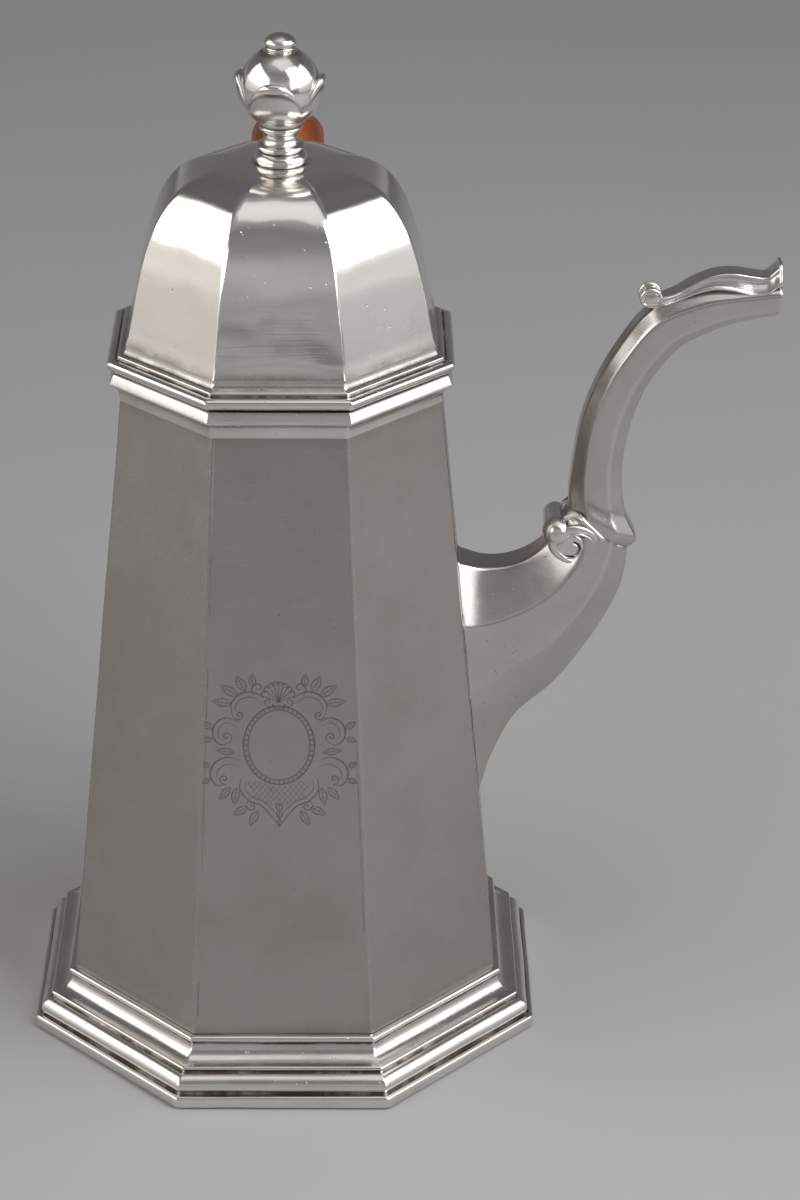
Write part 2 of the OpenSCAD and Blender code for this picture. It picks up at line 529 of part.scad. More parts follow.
// wooden loop: stations are y, z, half width, half depth
hw = handle_half_w;
hd = handle_half_d;
hr = handle_reach;
ht = handle_top_z;
ut = upper_tenon_r + socket_wall;
lt = lower_tenon_r + socket_wall;
function on(e, d, l) = [e[1] + d[1] * l, e[2] + d[2] * l];
wood = [concat(on(up_end, up_dir, 0.02), [ut, ut * 0.98]), concat(on(up_end, up_dir, 5), [hw * 0.9, hd]),
  [up_end[1] + 11.5, ht - 11.5, hw * 0.98, hd], [up_end[1] + 25, ht, hw, hd],
  [hr - 8, ht - 11, hw, hd * 0.97], [hr, ht - 33, hw * 0.93, hd * 0.95],
  [hr - 1, ht - 58, hw * 0.85, hd * 0.93], [hr - 10, ht - 83, hw * 0.78, hd * 0.92],
  [hr - 20, ht - 106, hw * 0.72, hd * 0.9],
  [low_end[1] + 13.5, low_end[2] + 13.5, handle_low_w, handle_low_w * 0.98],
  concat(on(low_end, low_dir, 4.5), [lt * 0.98, lt * 0.98]), concat(on(low_end, low_dir, 0.02), [lt, lt])];
wood_k = 4;
wood_n = wood_k * (len(wood) - 1);
function path_dir(i) = let (a = along(wood, (i - 0.5) / wood_k), b = along(wood, (i + 0.5) / wood_k))
  unit([b[0] - a[0], b[1] - a[1]]);
// the rings stay square to the sockets at both ends and turn into the path from there
function wood_dir(i) = let (w1 = min(1, max(0, (i - wood_k) / wood_k)),
  w2 = min(1, max(0, (wood_n - wood_k - i) / wood_k)))
  w1 < 1 ? unit([up_dir[1], up_dir[2]] * (1 - w1) + path_dir(max(i, 1)) * w1)
  : w2 < 1 ? unit([-low_dir[1], -low_dir[2]] * (1 - w2) + path_dir(min(i, wood_n - 1)) * w2) : path_dir(i);
wood_sides = 16;
function wood_ring(i) = let (s = along(wood, i / wood_k), d = wood_dir(i))
  [for (j = [0:wood_sides - 1]) let (a = 360 / wood_sides * (j + 0.5), x = s[2] * cos(a), y = s[3] * sin(a))
    [x, s[0] - d[1] * y, s[1] + d[0] * y]];
module handle() color("saddlebrown") difference() {
  union() {
    skin([for (i = [0:wood_n]) wood_ring(i)]);
    translate(up_end) rotate([upper_slope - 90, 0, 0]) translate([0, 0, -tenon_depth])
      cylinder(h = tenon_depth + 0.5, r = upper_tenon_r);
    translate(low_end) rotate([lower_slope - 90, 0, 0]) translate([0, 0, -tenon_depth])
      cylinder(h = tenon_depth + 0.5, r = lower_tenon_r);
  }
  pin_hole(up_start, upper_slope, upper_socket_l);
  pin_hole(low_start, lower_slope, lower_socket_l);
}

body();
base_plate();
foot_moulding();
rim_moulding();
spout_root();
spout_neck();
spout_scroll();
spout_lip();
upper_socket();
lower_socket();
handle();
upper_pin();
lower_pin();
hinge_leaf_body();
hinge_pin();
cover_moulding();
cover_bezel();
cover_dome();
hinge_leaf_cover();
finial_stem();
finial_ball();
finial_cup();
finial_button();
finial_nut();
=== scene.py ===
"""Octagonal silver coffee pot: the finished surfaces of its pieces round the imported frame.

Lengths below are written in millimetres and scaled to metres when a mesh is made.
+Z is up, the spout points along +X and the wooden handle along +Y.
"""

import math

import bpy
import numpy as np
from mathutils import Matrix, Vector
from mathutils.geometry import delaunay_2d_cdt


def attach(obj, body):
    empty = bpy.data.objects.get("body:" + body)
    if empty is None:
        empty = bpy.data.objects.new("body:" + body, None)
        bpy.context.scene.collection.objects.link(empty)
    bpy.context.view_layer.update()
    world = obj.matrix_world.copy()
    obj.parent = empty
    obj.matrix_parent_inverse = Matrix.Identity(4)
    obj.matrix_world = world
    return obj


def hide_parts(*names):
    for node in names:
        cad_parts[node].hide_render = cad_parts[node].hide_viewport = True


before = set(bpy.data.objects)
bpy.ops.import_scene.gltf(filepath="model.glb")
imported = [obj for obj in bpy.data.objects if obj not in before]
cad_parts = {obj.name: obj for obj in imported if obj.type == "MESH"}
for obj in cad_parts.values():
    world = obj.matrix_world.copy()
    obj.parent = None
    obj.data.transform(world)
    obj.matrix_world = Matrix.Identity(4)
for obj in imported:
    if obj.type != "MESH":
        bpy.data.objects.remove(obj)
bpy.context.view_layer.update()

MM = 0.001
# an octagon's flat distance over its corner radius, and half a side over its flat distance
C8 = math.cos(math.radians(22.5))
T8 = math.tan(math.radians(22.5))


# ---- sizes
FOOT_H = 15.8
BODY_TOP = 169.7
BODY_LOW_FLAT = 53.45
BODY_TOP_FLAT = 38.35
BODY_WALL = 1.2
FOOT_WALL = 1.5
RIM_H = 7.1
RIM_WALL = 1.35
RIM_TOP = BODY_TOP + RIM_H
RIM_IN = BODY_TOP_FLAT - RIM_WALL
RIM_OUT = BODY_TOP_FLAT + 2.5
COVER_Z = RIM_TOP + 0.3
ROLL = RIM_OUT + 0.4
BAND_H = 6.3
BEZEL = RIM_IN - 0.5
DOME_Z = COVER_Z + BAND_H
DOME_H = 40.6
DOME_FLAT = 36.4
DOME_LEAN = 0.19
DOME_UP = 4.3
DOME_IN = 4.6
DOME_WALL = 1.1
DOME_TOP = DOME_Z + DOME_H
PLATEAU = 8.05
STUD_R = 1.6
FINIAL_R = 6.45
NECK_R = 4.05
BALL_UP = 18.5
BALL_R = 9.4
BALL_Z = DOME_TOP + BALL_UP
BUTTON_Z = BALL_Z + BALL_R - 0.9
BUTTON_R = 3.8
BUTTON_H = 4.1
SPOUT_Z = 90.0


def body_flat(z):
    """Distance from the axis to a panel at height z."""
    t = (z - FOOT_H) / (BODY_TOP - FOOT_H)
    return BODY_LOW_FLAT + (BODY_TOP_FLAT - BODY_LOW_FLAT) * t


# ---- small tools
def smoothstep(x, lo, hi):
    t = np.clip((np.asarray(x, float) - lo) / (hi - lo), 0, 1)
    return t * t * (3 - 2 * t)


def bell(x, middle, width):
    return np.exp(-((x - middle) / width) ** 2)


def unit(v):
    """Vectors along the last axis, brought to length 1."""
    return v / np.maximum(np.linalg.norm(v, axis=-1, keepdims=True), 1e-9)


def polar(degrees):
    a = math.radians(degrees)
    return np.array([math.cos(a), math.sin(a)])


def places(*axes):
    """Points from their coordinates, which may be grids of different shapes."""
    return np.stack(np.broadcast_arrays(*axes), -1)


def full_turn(n):
    """n angles that go once round a circle."""
    return np.linspace(0, 2 * math.pi, n, endpoint=False)


def travelled(line):
    """The length of a line up to each of its points."""
    return np.concatenate([[0], np.cumsum(np.linalg.norm(np.diff(line, axis=0), axis=1))])


def wave(p, size, seed):
    """Slow, even waves over space, about -1 to 1, the same on every run."""
    kinds = 7
    rng = np.random.default_rng(seed)
    out = np.zeros(p.shape[:-1])
    for _ in range(kinds):
        d = rng.normal(size=3)
        d /= np.linalg.norm(d)
        f = 2 * math.pi / (size * rng.uniform(0.7, 1.5))
        out += np.sin(p @ d * f + rng.uniform(0, 2 * math.pi))
    return out / kinds * 1.8


def curve_at(rows, u):
    """Catmull-Rom through rows, at u from 0 to len(rows) - 1."""
    rows = np.asarray(rows, float)
    n = len(rows) - 1
    i = min(int(u), n - 1)
    t = u - i
    a, b = rows[max(i - 1, 0)], rows[i]
    c, d = rows[i + 1], rows[min(i + 2, n)]
    return 0.5 * (2 * b + (c - a) * t + (2 * a - 5 * b + 4 * c - d) * t * t
                  + (3 * b - a - 3 * c + d) * t ** 3)


def resample(points, n):
    """n places along a smooth line through points, evenly spaced in its parameter."""
    return np.array([curve_at(points, u) for u in np.linspace(0, len(points) - 1, n)])


def dense_path(points, per):
    return resample(points, per * (len(points) - 1) + 1)


def soft_line(points, step=0.3, sharp=46, cut=0.3):
    """A moulding outline as a fine line: curved runs are smoothed, and corners sharper
    than sharp degrees stay crisp but are eased by cut."""
    pts = np.asarray(points, float)
    last = len(pts) - 1
    marks = [0]
    for i in range(1, last):
        a, b = pts[i] - pts[i - 1], pts[i + 1] - pts[i]
        if math.degrees(abs(math.atan2(a[0] * b[1] - a[1] * b[0], a @ b))) > sharp:
            marks.append(i)
    marks.append(last)
    out = []
    for lo, hi in zip(marks[:-1], marks[1:]):
        run = pts[lo:hi + 1]
        line = []
        for k in range(len(run) - 1):
            m = max(2, int(np.linalg.norm(run[k + 1] - run[k]) / step))
            line += [curve_at(run, k + j / m) for j in range(m)]
        line = np.array(line + [run[-1]])
        length = travelled(line)
        start = cut if lo > 0 else 0
        end = length[-1] - (cut if hi < last else 0)
        if end - start < 0.1:
            start, end = length[-1] * 0.4, length[-1] * 0.6
        s = np.linspace(start, end, max(2, int((end - start) / step) + 1) + 1)
        out += np.stack([np.interp(s, length, c) for c in line.T], -1).tolist()
        if hi < last:
            nxt = pts[hi + 1] - pts[hi]
            far = np.linalg.norm(nxt)
            after = pts[hi] + nxt / far * min(cut, far * 0.4)
            out.append(0.25 * np.array(out[-1]) + 0.5 * pts[hi] + 0.25 * after)
    return np.array(out)


def line_relief(line, reach=0.45):
    """+1 on convex edges of an outline and -1 in its hollows. The line runs upwards outside."""
    d = np.diff(line, axis=0)
    bend = np.zeros(len(line))
    bend[1:-1] = np.arctan2(d[:-1, 0] * d[1:, 1] - d[:-1, 1] * d[1:, 0], (d[:-1] * d[1:]).sum(1))
    s = travelled(line)
    return np.clip(bell(s[:, None], s, reach) @ bend * 1.1, -1, 1)


def grid_normals(p):
    """Normals of a grid that closes round its columns."""
    return unit(np.cross(np.roll(p, -1, 1) - np.roll(p, 1, 1), np.gradient(p, axis=0)))


def grid_faces(rows, cols, closed=True, loop=False):
    j, i = np.meshgrid(np.arange(rows if loop else rows - 1),
                       np.arange(cols if closed else cols - 1), indexing="ij")
    k, m = (i + 1) % cols, (j + 1) % rows
    return places(j * cols + i, j * cols + k, m * cols + k, m * cols + i)


class Shape:
    """Grids and loose faces joined into one mesh. relief is 1 on worn edges, -1 in hollows, and
    some pieces push it down as painted shade under and between parts.
    """

    def __init__(self):
        self.points, self.faces, self.relief = [], [], []
        self.count = 0

    def add(self, p, faces, relief=0.0, flip=False):
        faces = np.asarray(faces) + self.count
        faces = faces.reshape(-1, faces.shape[-1])
        self.faces += (faces[:, ::-1] if flip else faces).tolist()
        self.points.append(p.reshape(-1, 3))
        self.relief.append(np.broadcast_to(relief, p.shape[:-1]).ravel())
        self.count += len(self.points[-1])

    def grid(self, p, relief=0.0, flip=False, closed=True, loop=False):
        self.add(p, grid_faces(*p.shape[:2], closed, loop), relief, flip)

    def piece(self, name, body, material, stands_for, slot="silver_bright", sharp=60, **marks):
        """A piece that rides on a body and takes the place of the CAD nodes it stands for."""
        mesh = bpy.data.meshes.new(name)
        mesh.from_pydata((np.concatenate(self.points) * MM).tolist(), [], self.faces)
        mesh.polygons.foreach_set("use_smooth", [True] * len(mesh.polygons))
        for key, values in {**marks, "relief": np.concatenate(self.relief)}.items():
            layer = mesh.attributes.new(key, "FLOAT", "POINT")
            layer.data.foreach_set("value", np.asarray(values, np.float32).ravel())
        if sharp:
            mesh.set_sharp_from_angle(angle=math.radians(sharp))
        mesh.materials.append(material)
        obj = bpy.data.objects.new(name, mesh)
        bpy.context.scene.collection.objects.link(obj)
        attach(obj, body)
        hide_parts(*stands_for)


# ---- octagons
FRONT, SPOUT_SIDE = 6, 0


class Octagon:
    """An octagon with flats to +-X and +-Y and eased arrises. For each column, side is the
    number of its flat, along runs from -1 to 1 over the flat and on to 2 over the arris after
    it, and arris is 1 in the middle of an arris and 0 on the flats."""

    def __init__(self, cols, arc, fine=None):
        rows = []
        for k in range(8):
            out, corner = polar(45 * k), polar(45 * k + 22.5) / C8
            across = np.array([-out[1], out[0]])
            ss = np.linspace(-1, 1, (fine or {}).get(k, cols) + 1)
            for s in (-1, -0.975, *ss[1:-1], 0.975, 1):
                rows.append((out + s * T8 * across, -s * T8 * across, 0, k, s))
            for j in range(1, arc):
                rows.append((corner, polar(45 * k + 45 * j / arc) - corner,
                             math.sin(math.pi * j / arc), k, 1 + j / arc))
        self.u, self.v, self.arris, self.side, self.along = map(np.array, zip(*rows))

    def turn(self, line, r, z=0.0):
        """Rings of an outline of (distance to the flat, height), with arris radius r."""
        line = np.asarray(line, float)
        a, r = np.broadcast_arrays(line[:, 0], r)
        r = np.minimum(r, a * 0.85)
        xy = a[:, None, None] * self.u + r[:, None, None] * self.v
        return places(xy[..., 0], xy[..., 1], (line[:, 1] + z)[:, None])


def octagon_piece(name, outer, inner, z, body, stands_for, arris, ripple, seed, worn=0.0):
    """A mitred moulding: its fine outer outline and the plain inside, as one closed loop."""
    line = soft_line(outer)
    octa = Octagon(10, 7)
    p = octa.turn(line, arris + worn * smoothstep(line[:, 1], 5, 3), z)
    # the unevenness leans inwards, which keeps the piece inside the CAD box
    p += grid_normals(p) * ((wave(p, 26, seed) - 1.6) * ripple
                            + wave(p, 7, seed + 1) * ripple * 0.25)[..., None]
    p[:, :, 2] = np.clip(p[:, :, 2], z + line[:, 1].min(), z + line[:, 1].max())
    back = octa.turn(inner, 0.3, z)
    relief = np.clip(line_relief(line)[:, None] + 0.55 * octa.arris, -1, 1)
    s = Shape()
    s.grid(np.concatenate([p, back]), loop=True,
           relief=np.concatenate([relief, np.full(back.shape[:2], -0.5)]))
    s.piece(name, body, BRIGHT, stands_for, sharp=50)


def lathe(line, sides, z):
    """Rings of an outline of (radius, height) round the Z axis."""
    line = np.asarray(line, float)[..., None]
    a = full_turn(sides)
    r = np.maximum(line[:, 0], 0.004)
    return places(r * np.cos(a), r * np.sin(a), line[:, 1] + z)


def bar(path, radii, u, v, sides):
    """Rings round a path, spanned by the directions u and v."""
    a = full_turn(sides)[:, None]
    r = np.asarray(radii, float)[:, None, None]
    return path[:, None] + r * (np.cos(a) * u[:, None] + np.sin(a) * v[:, None])


def tube(path, radii, sides, normal=(0, 1, 0), flat=1.0):
    """A rounded bar along a path; flat scales it in the direction normal."""
    t = unit(np.gradient(path, axis=0))
    across = unit(np.cross(t, np.asarray(normal, float)))
    return bar(path, radii, across, flat * np.cross(across, t), sides)


def far_from(x, z, line):
    """Distance of the places (x, z) from a line of points."""
    line = dense_path(line, 5)
    return np.hypot(x[..., None] - line[:, 0], z[..., None] - line[:, 1]).min(-1)


# ---- materials
class Nodes:
    """Short names for building the node tree of a material or a world."""

    def __init__(self, owner):
        owner.use_nodes = True
        self.owner, self.tree = owner, owner.node_tree
        self.coord = self.new("ShaderNodeTexCoord").outputs

    def put(self, socket, value):
        if isinstance(value, bpy.types.NodeSocket):
            self.tree.links.new(value, socket)
        else:
            socket.default_value = (*value, 1) if socket.type == "RGBA" else value

    def new(self, kind, inputs=None, **values):
        n = self.tree.nodes.new(kind)
        for k, v in values.items():
            setattr(n, k, v)
        for k, v in (inputs or {}).items():
            self.put(n.inputs[k], v)
        return n

    def math(self, op, a, b, clamp=False):
        return self.new("ShaderNodeMath", {0: a, 1: b}, operation=op, use_clamp=clamp).outputs[0]

    def mapped(self, scale, turn=(0, 0, 0), vector=None):
        return self.new("ShaderNodeMapping", {
            "Scale": scale, "Rotation": [math.radians(t) for t in turn],
            "Vector": vector or self.coord["Object"]}).outputs[0]

    def noise(self, scale, detail=2.0, rough=0.5, vector=None):
        return self.new("ShaderNodeTexNoise", {
            "Scale": scale, "Detail": detail, "Roughness": rough,
            "Vector": vector or self.coord["Object"]}).outputs["Fac"]

    def spread(self, value, lo, hi, out_lo=0.0, out_hi=1.0, **kind):
        inputs = dict(enumerate((value, lo, hi, out_lo, out_hi)))
        return self.new("ShaderNodeMapRange", inputs, clamp=True, **kind).outputs[0]

    def mark(self, name):
        return self.new("ShaderNodeAttribute", attribute_name=name).outputs["Fac"]

    def mix(self, factor, a, b):
        return self.new("ShaderNodeMix", {0: factor, 6: a, 7: b}, data_type="RGBA").outputs[2]

    def bump(self, height, strength, distance, after=None):
        n = self.new("ShaderNodeBump", {"Height": height, "Strength": strength,
                                        "Distance": distance})
        if after:
            self.put(n.inputs["Normal"], after)
        return n.outputs[0]

    def surface(self, values):
        """Sets the material's shader and returns the material."""
        for key, value in values.items():
            self.put(self.tree.nodes["Principled BSDF"].inputs[key], value)
        return self.owner


def scratches(n, turn, length, fine, amount):
    """Fine straight scratches: noise drawn out along one direction. 0 to 1."""
    v = n.mapped((length, fine, fine), turn)
    return n.spread(n.noise(1.0, 1.0, 0.4, v), 1 - amount, 1 - amount + 0.09)


def silver(name, clean, dull, rough, rough_span, patch=0.25, hollow=0.85, scratch=0.3,
           satin=0.0, dent=0.12, engraved=False):
    """Old polished silver: warm tarnish left in hollows and in faint patches, bright edges,
    hairline scratches, pits, and a satin grain where asked for. Where a piece pushes its
    relief mark down under or between parts, the same darkening is painted shade."""
    n = Nodes(bpy.data.materials.new(name))
    relief = n.mark("relief")
    inside = n.spread(n.math("MULTIPLY", relief, -1.0), 0.18, 0.85)
    edge = n.spread(relief, 0.25, 0.9)
    cloud = n.noise(34.0, 4.0, 0.6)
    speck = n.noise(900.0, 2.0, 0.6)
    mottled = n.noise(170.0, 5.0, 0.65)
    patches = n.math("MULTIPLY", n.spread(cloud, 0.42, 0.72), patch)
    # tarnish in the hollows, together with painted shade where pieces mark relief down under or
    # between parts; worn carries both
    hollow_tarnish_and_shade = n.math("MULTIPLY", inside, n.spread(mottled, 0.3, 0.62, 0.45, 1.0))
    worn = n.math("ADD", n.math("MULTIPLY", hollow_tarnish_and_shade, hollow), patches)
    pits = n.spread(speck, 0.71, 0.76)
    worn = n.math("ADD", worn, n.math("MULTIPLY", pits, 0.5), True)
    worn = n.math("SUBTRACT", worn, n.math("MULTIPLY", edge, 0.3), True)
    colour = n.mix(worn, clean, dull)
    if engraved:
        cut = n.mark("engraved")
        colour = n.mix(n.math("MULTIPLY", cut, 0.92, True), colour, (0.035, 0.03, 0.026))
    lines = n.math("MAXIMUM", scratches(n, (12, 31, 64), 30, 2600, 0.36),
                   n.math("MAXIMUM", scratches(n, (75, 8, 148), 24, 2100, 0.37),
                          scratches(n, (160, 52, 20), 40, 3000, 0.36)))
    r = n.spread(mottled, 0.25, 0.75, rough - rough_span, rough + rough_span)
    r = n.math("ADD", r, n.math("MULTIPLY", worn, 0.22))
    r = n.math("ADD", r, n.math("MULTIPLY", lines, scratch * 0.2))
    r = n.math("SUBTRACT", r, n.math("MULTIPLY", edge, rough * 0.35), True)
    b = n.bump(lines, scratch, -0.00004)
    b = n.bump(pits, 0.5, -0.00008, b)
    b = n.bump(n.noise(48.0, 1.0, 0.4), dent, 0.00012, b)
    if satin:
        b = n.bump(n.noise(1.0, 3.0, 0.7, n.mapped((900, 900, 5200))), satin, 0.00003, b)
    return n.surface({"Base Color": colour, "Metallic": 1.0, "Roughness": r, "Normal": b})


def fruitwood(name):
    """Oiled fruitwood: warm orange brown, fine grain along the handle, darker in the pores."""
    n = Nodes(bpy.data.materials.new(name))
    keys = ("wood_x", "wood_y", "wood_s")
    v = n.new("ShaderNodeCombineXYZ", {i: n.mark(k) for i, k in enumerate(keys)}).outputs[0]
    rings = n.noise(1.0, 3.0, 0.55, n.mapped((0.22, 0.3, 0.012), vector=v))
    bands = n.new("ShaderNodeTexWave", {
        "Scale": 0.16, "Distortion": 3.5, "Detail": 2.0, "Detail Scale": 0.35,
        "Vector": n.mapped((1, 1, 0.05), vector=v)}, wave_type="RINGS", rings_direction="Z")
    pores = n.spread(n.noise(1.0, 2.0, 0.6, n.mapped((5.5, 5.5, 0.25), vector=v)), 0.56, 0.72)
    light = n.mix(n.spread(rings, 0.3, 0.7), (0.20, 0.044, 0.005), (0.34, 0.086, 0.011))
    body = n.mix(n.math("MULTIPLY", bands.outputs["Fac"], 0.55), light, (0.09, 0.017, 0.003))
    dark = n.mix(n.math("MULTIPLY", pores, 0.6), body, (0.05, 0.014, 0.006))
    worn = n.math("MULTIPLY", n.spread(n.mark("relief"), 0.1, 0.9), 0.25)
    grain = n.bump(pores, 0.35, -0.00012)
    return n.surface({
        "Base Color": n.mix(worn, dark, (0.44, 0.13, 0.022)),
        "Roughness": n.spread(n.noise(240.0, 3.0), 0.3, 0.7, 0.26, 0.42),
        "Coat Weight": 0.25, "Coat Roughness": 0.16,
        "Normal": n.bump(n.noise(70.0, 2.0), 0.3, 0.0002, grain)})


SATIN = silver("silver_satin_panels", (0.438, 0.419, 0.394), (0.17, 0.145, 0.12), 0.31, 0.05,
               patch=0.22, scratch=0.32, satin=0.3, dent=0.28, engraved=True)
BRIGHT = silver("silver_bright_mouldings", (0.77, 0.745, 0.715), (0.10, 0.078, 0.060), 0.19, 0.06,
                patch=0.22, hollow=1.1, scratch=0.14, dent=0.2)
MIRROR = silver("silver_polished_dome", (0.86, 0.835, 0.80), (0.16, 0.13, 0.10), 0.12, 0.03,
                patch=0.10, scratch=0.06, dent=0.1)
CAST = silver("silver_cast_spout", (0.58, 0.56, 0.535), (0.13, 0.105, 0.08), 0.20, 0.06,
              patch=0.2, hollow=0.95, scratch=0.12)
GREY = silver("silver_inside", (0.42, 0.40, 0.375), (0.12, 0.10, 0.08), 0.38, 0.06, patch=0.4,
              scratch=0.2)
FRUITWOOD = fruitwood("fruitwood")

# the solids that stay in view as they are
for material, nodes in ((GREY, ("base_plate", "cover_bezel")),
                        (BRIGHT, ("hinge_leaf_body", "hinge_leaf_cover", "hinge_pin", "upper_pin",
                                  "lower_pin", "finial_nut", "upper_socket", "lower_socket"))):
    for node in nodes:
        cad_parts[node].data.materials.clear()
        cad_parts[node].data.materials.append(material)


# ---- engraving
class Engraver:
    """Depth of cut lines over a small flat field, drawn as tapering strokes."""

    cell = 0.08

    def __init__(self, *half):
        self.half = np.array(half)
        self.depth = np.zeros(tuple(int(2 * h / self.cell) + 1 for h in half[::-1]))

    def stroke(self, pts, width, deep=1.0, taper=0.0, mirror=True):
        pts = np.asarray(pts, float)
        count = len(pts) - 1
        for side in (1, -1) if mirror else (1,):
            q = pts * [side, 1]
            for i in range(count):
                thin = taper * (1 - math.sin(math.pi * (i + 0.5) / count))
                self._segment(q[i], q[i + 1], width * (1 - thin), deep * (1 - 0.35 * thin))

    def _segment(self, a, b, w, deep):
        size = self.depth.shape[::-1]
        i0, j0 = np.clip(((np.minimum(a, b) - w + self.half) / self.cell).astype(int), 0, size)
        i1, j1 = np.clip(((np.maximum(a, b) + w + self.half) / self.cell).astype(int) + 2, 0, size)
        if i0 >= i1 or j0 >= j1:
            return
        x = np.arange(i0, i1) * self.cell - self.half[0]
        y = (np.arange(j0, j1) * self.cell - self.half[1])[:, None]
        d = b - a
        t = np.clip(((x - a[0]) * d[0] + (y - a[1]) * d[1]) / max(d @ d, 1e-9), 0, 1)
        far = np.hypot(x - a[0] - t * d[0], y - a[1] - t * d[1])
        part = self.depth[j0:j1, i0:i1]
        np.maximum(part, np.clip(1 - far / w, 0, 1) * deep, out=part)

    def at(self, x, y):
        """Depth at places of the field, blended between its cells."""
        g = self.depth
        i = np.clip((x + self.half[0]) / self.cell, 0, g.shape[1] - 1.001)
        j = np.clip((y + self.half[1]) / self.cell, 0, g.shape[0] - 1.001)
        i0, j0 = i.astype(int), j.astype(int)
        fi, fj = i - i0, j - j0
        low, high = (g[k, i0] * (1 - fi) + g[k, i0 + 1] * fi for k in (j0, j0 + 1))
        inside = (abs(x) < self.half[0]) & (abs(y) < self.half[1])
        return np.where(inside, low * (1 - fj) + high * fj, 0)


def arc(cx, cy, rx, ry, a0, a1, n):
    a = np.radians(np.linspace(a0, a1, n))
    return places(cx + rx * np.cos(a), cy + ry * np.sin(a))


def scroll(cx, cy, r0, r1, a0, a1):
    """A spiral that starts at radius r0 and closes to r1."""
    t = np.linspace(0, 1, 40)
    a = np.radians(a0 + (a1 - a0) * t)
    r = r0 * (r1 / r0) ** t
    return places(cx + r * np.cos(a), cy + r * np.sin(a))


def leaf(e, x, y, length, width, angle, veins, mirror=True):
    """One pointed leaf with a midrib and short veins."""
    ca, sa = polar(angle)

    def draw(q, line, deep, taper):
        e.stroke(np.asarray(q) @ [[ca, sa], [-sa, ca]] + [x, y], line, deep, taper, mirror)

    t = np.linspace(0, 1, 16)
    bulge = np.sin(math.pi * t ** 0.8) * width
    for up in (1, -1):
        draw(places(t * length, up * bulge), 0.17, 1, 0.5)
        for k in range(veins):
            s = length * (0.2 + 0.6 * k / (veins - 1))
            draw([[s, 0], [s + width * 0.5, up * width * 0.55]], 0.1, 0.6, 0.6)
    draw([[0, 0], [length * 0.8, 0]], 0.13, 0.8, 0.5)


# the right half of the frame, which is mirrored to the left.
# lines: width, depth, taper, then the points they flow through
FRAME_LINES = [
    (0.22, 1, 0.6, (3.4, 12.6), (6.2, 14.2), (9.4, 13.6), (11.4, 11.0), (11.0, 8.0)),
    (0.16, 0.9, 0.6, (4.2, 11.4), (6.6, 12.9), (9.2, 12.2), (10.4, 10.4), (10.1, 8.6)),
    (0.22, 1, 0.6, (9.7, 6.6), (12.6, 7.6), (15.2, 6.0), (15.8, 2.8), (13.9, 0.6), (11.6, 1.4)),
    (0.15, 0.85, 0.6, (9.9, 5.2), (12.4, 6.3), (14.2, 5.0), (14.5, 2.9), (13.3, 1.8)),
    (0.22, 1, 0.6, (9.6, -3.4), (12.4, -2.6), (15.4, -4.0), (16.6, -7.0), (15.2, -9.8),
     (12.8, -9.6)),
    (0.15, 0.85, 0.6, (9.4, -5.0), (12.2, -4.4), (14.4, -5.6), (15.0, -7.4), (14.2, -8.6)),
    (0.2, 1, 0.4, (9.2, -8.2), (9.4, -11.2), (7.2, -14.0), (4.4, -15.2), (2.2, -17.6),
     (0.0, -20.6)),
    (0.15, 0.9, 0.4, (8.0, -8.6), (8.2, -10.8), (6.4, -13.0), (3.8, -14.2), (1.6, -16.2),
     (0.0, -18.4))]
# spirals: centre, first and last radius, first and last angle, width, taper
CURLS = [(2.5, 11.6, 1.5, 0.3, 200, 620, 0.16, 0.4), (9.5, 8.3, 1.5, 0.25, -10, -520, 0.18, 0.3),
         (4.9, 15.2, 2.0, 0.35, -60, 330, 0.18, 0.4), (12.6, 2.7, 1.5, 0.25, 230, -230, 0.17, 0.3),
         (13.2, -8.2, 1.5, 0.25, 260, 720, 0.17, 0.3), (6.6, -15.4, 1.7, 0.3, 60, -380, 0.17, 0.4)]
# leaves: place of the root, length, half width, angle, veins
LEAVES = [
    (8.0, 14.4, 4.4, 1.0, 62, 4), (9.9, 13.2, 4.8, 1.0, 34, 4), (11.3, 11.2, 4.8, 0.95, 8, 4),
    (6.2, 15.4, 3.4, 0.8, 88, 4), (15.9, 4.6, 3.2, 0.7, 40, 3), (16.0, 2.4, 2.9, 0.65, -20, 3),
    (16.6, -5.2, 2.4, 0.6, 30, 3), (16.6, -8.2, 2.4, 0.6, -30, 3), (10.6, -1.4, 4.6, 0.8, 8, 3),
    (11.8, -10.4, 4.2, 0.85, -52, 3), (10.2, -10.6, 4.6, 0.9, -80, 3),
    (5.2, -16.6, 4.4, 0.9, -62, 3), (7.6, -15.6, 4.2, 0.9, -30, 3)]
OVAL_Y, SHELL_Y, SHELL_TURN, LATTICE_Y = 0.5, 11.2, 17, -12.0


def in_lattice(x, y):
    """Inside the drop under the oval: clear of the beads and within the lower bracket."""
    return (((x / 8.3) ** 2 + ((y - OVAL_Y) / 10.0) ** 2 > 1.12)
            & (y < -8.6) & (y > -15.2 + 0.055 * x ** 2)
            & (abs(x) < 7.6 - 0.5 * np.maximum(-y - 10, 0)))


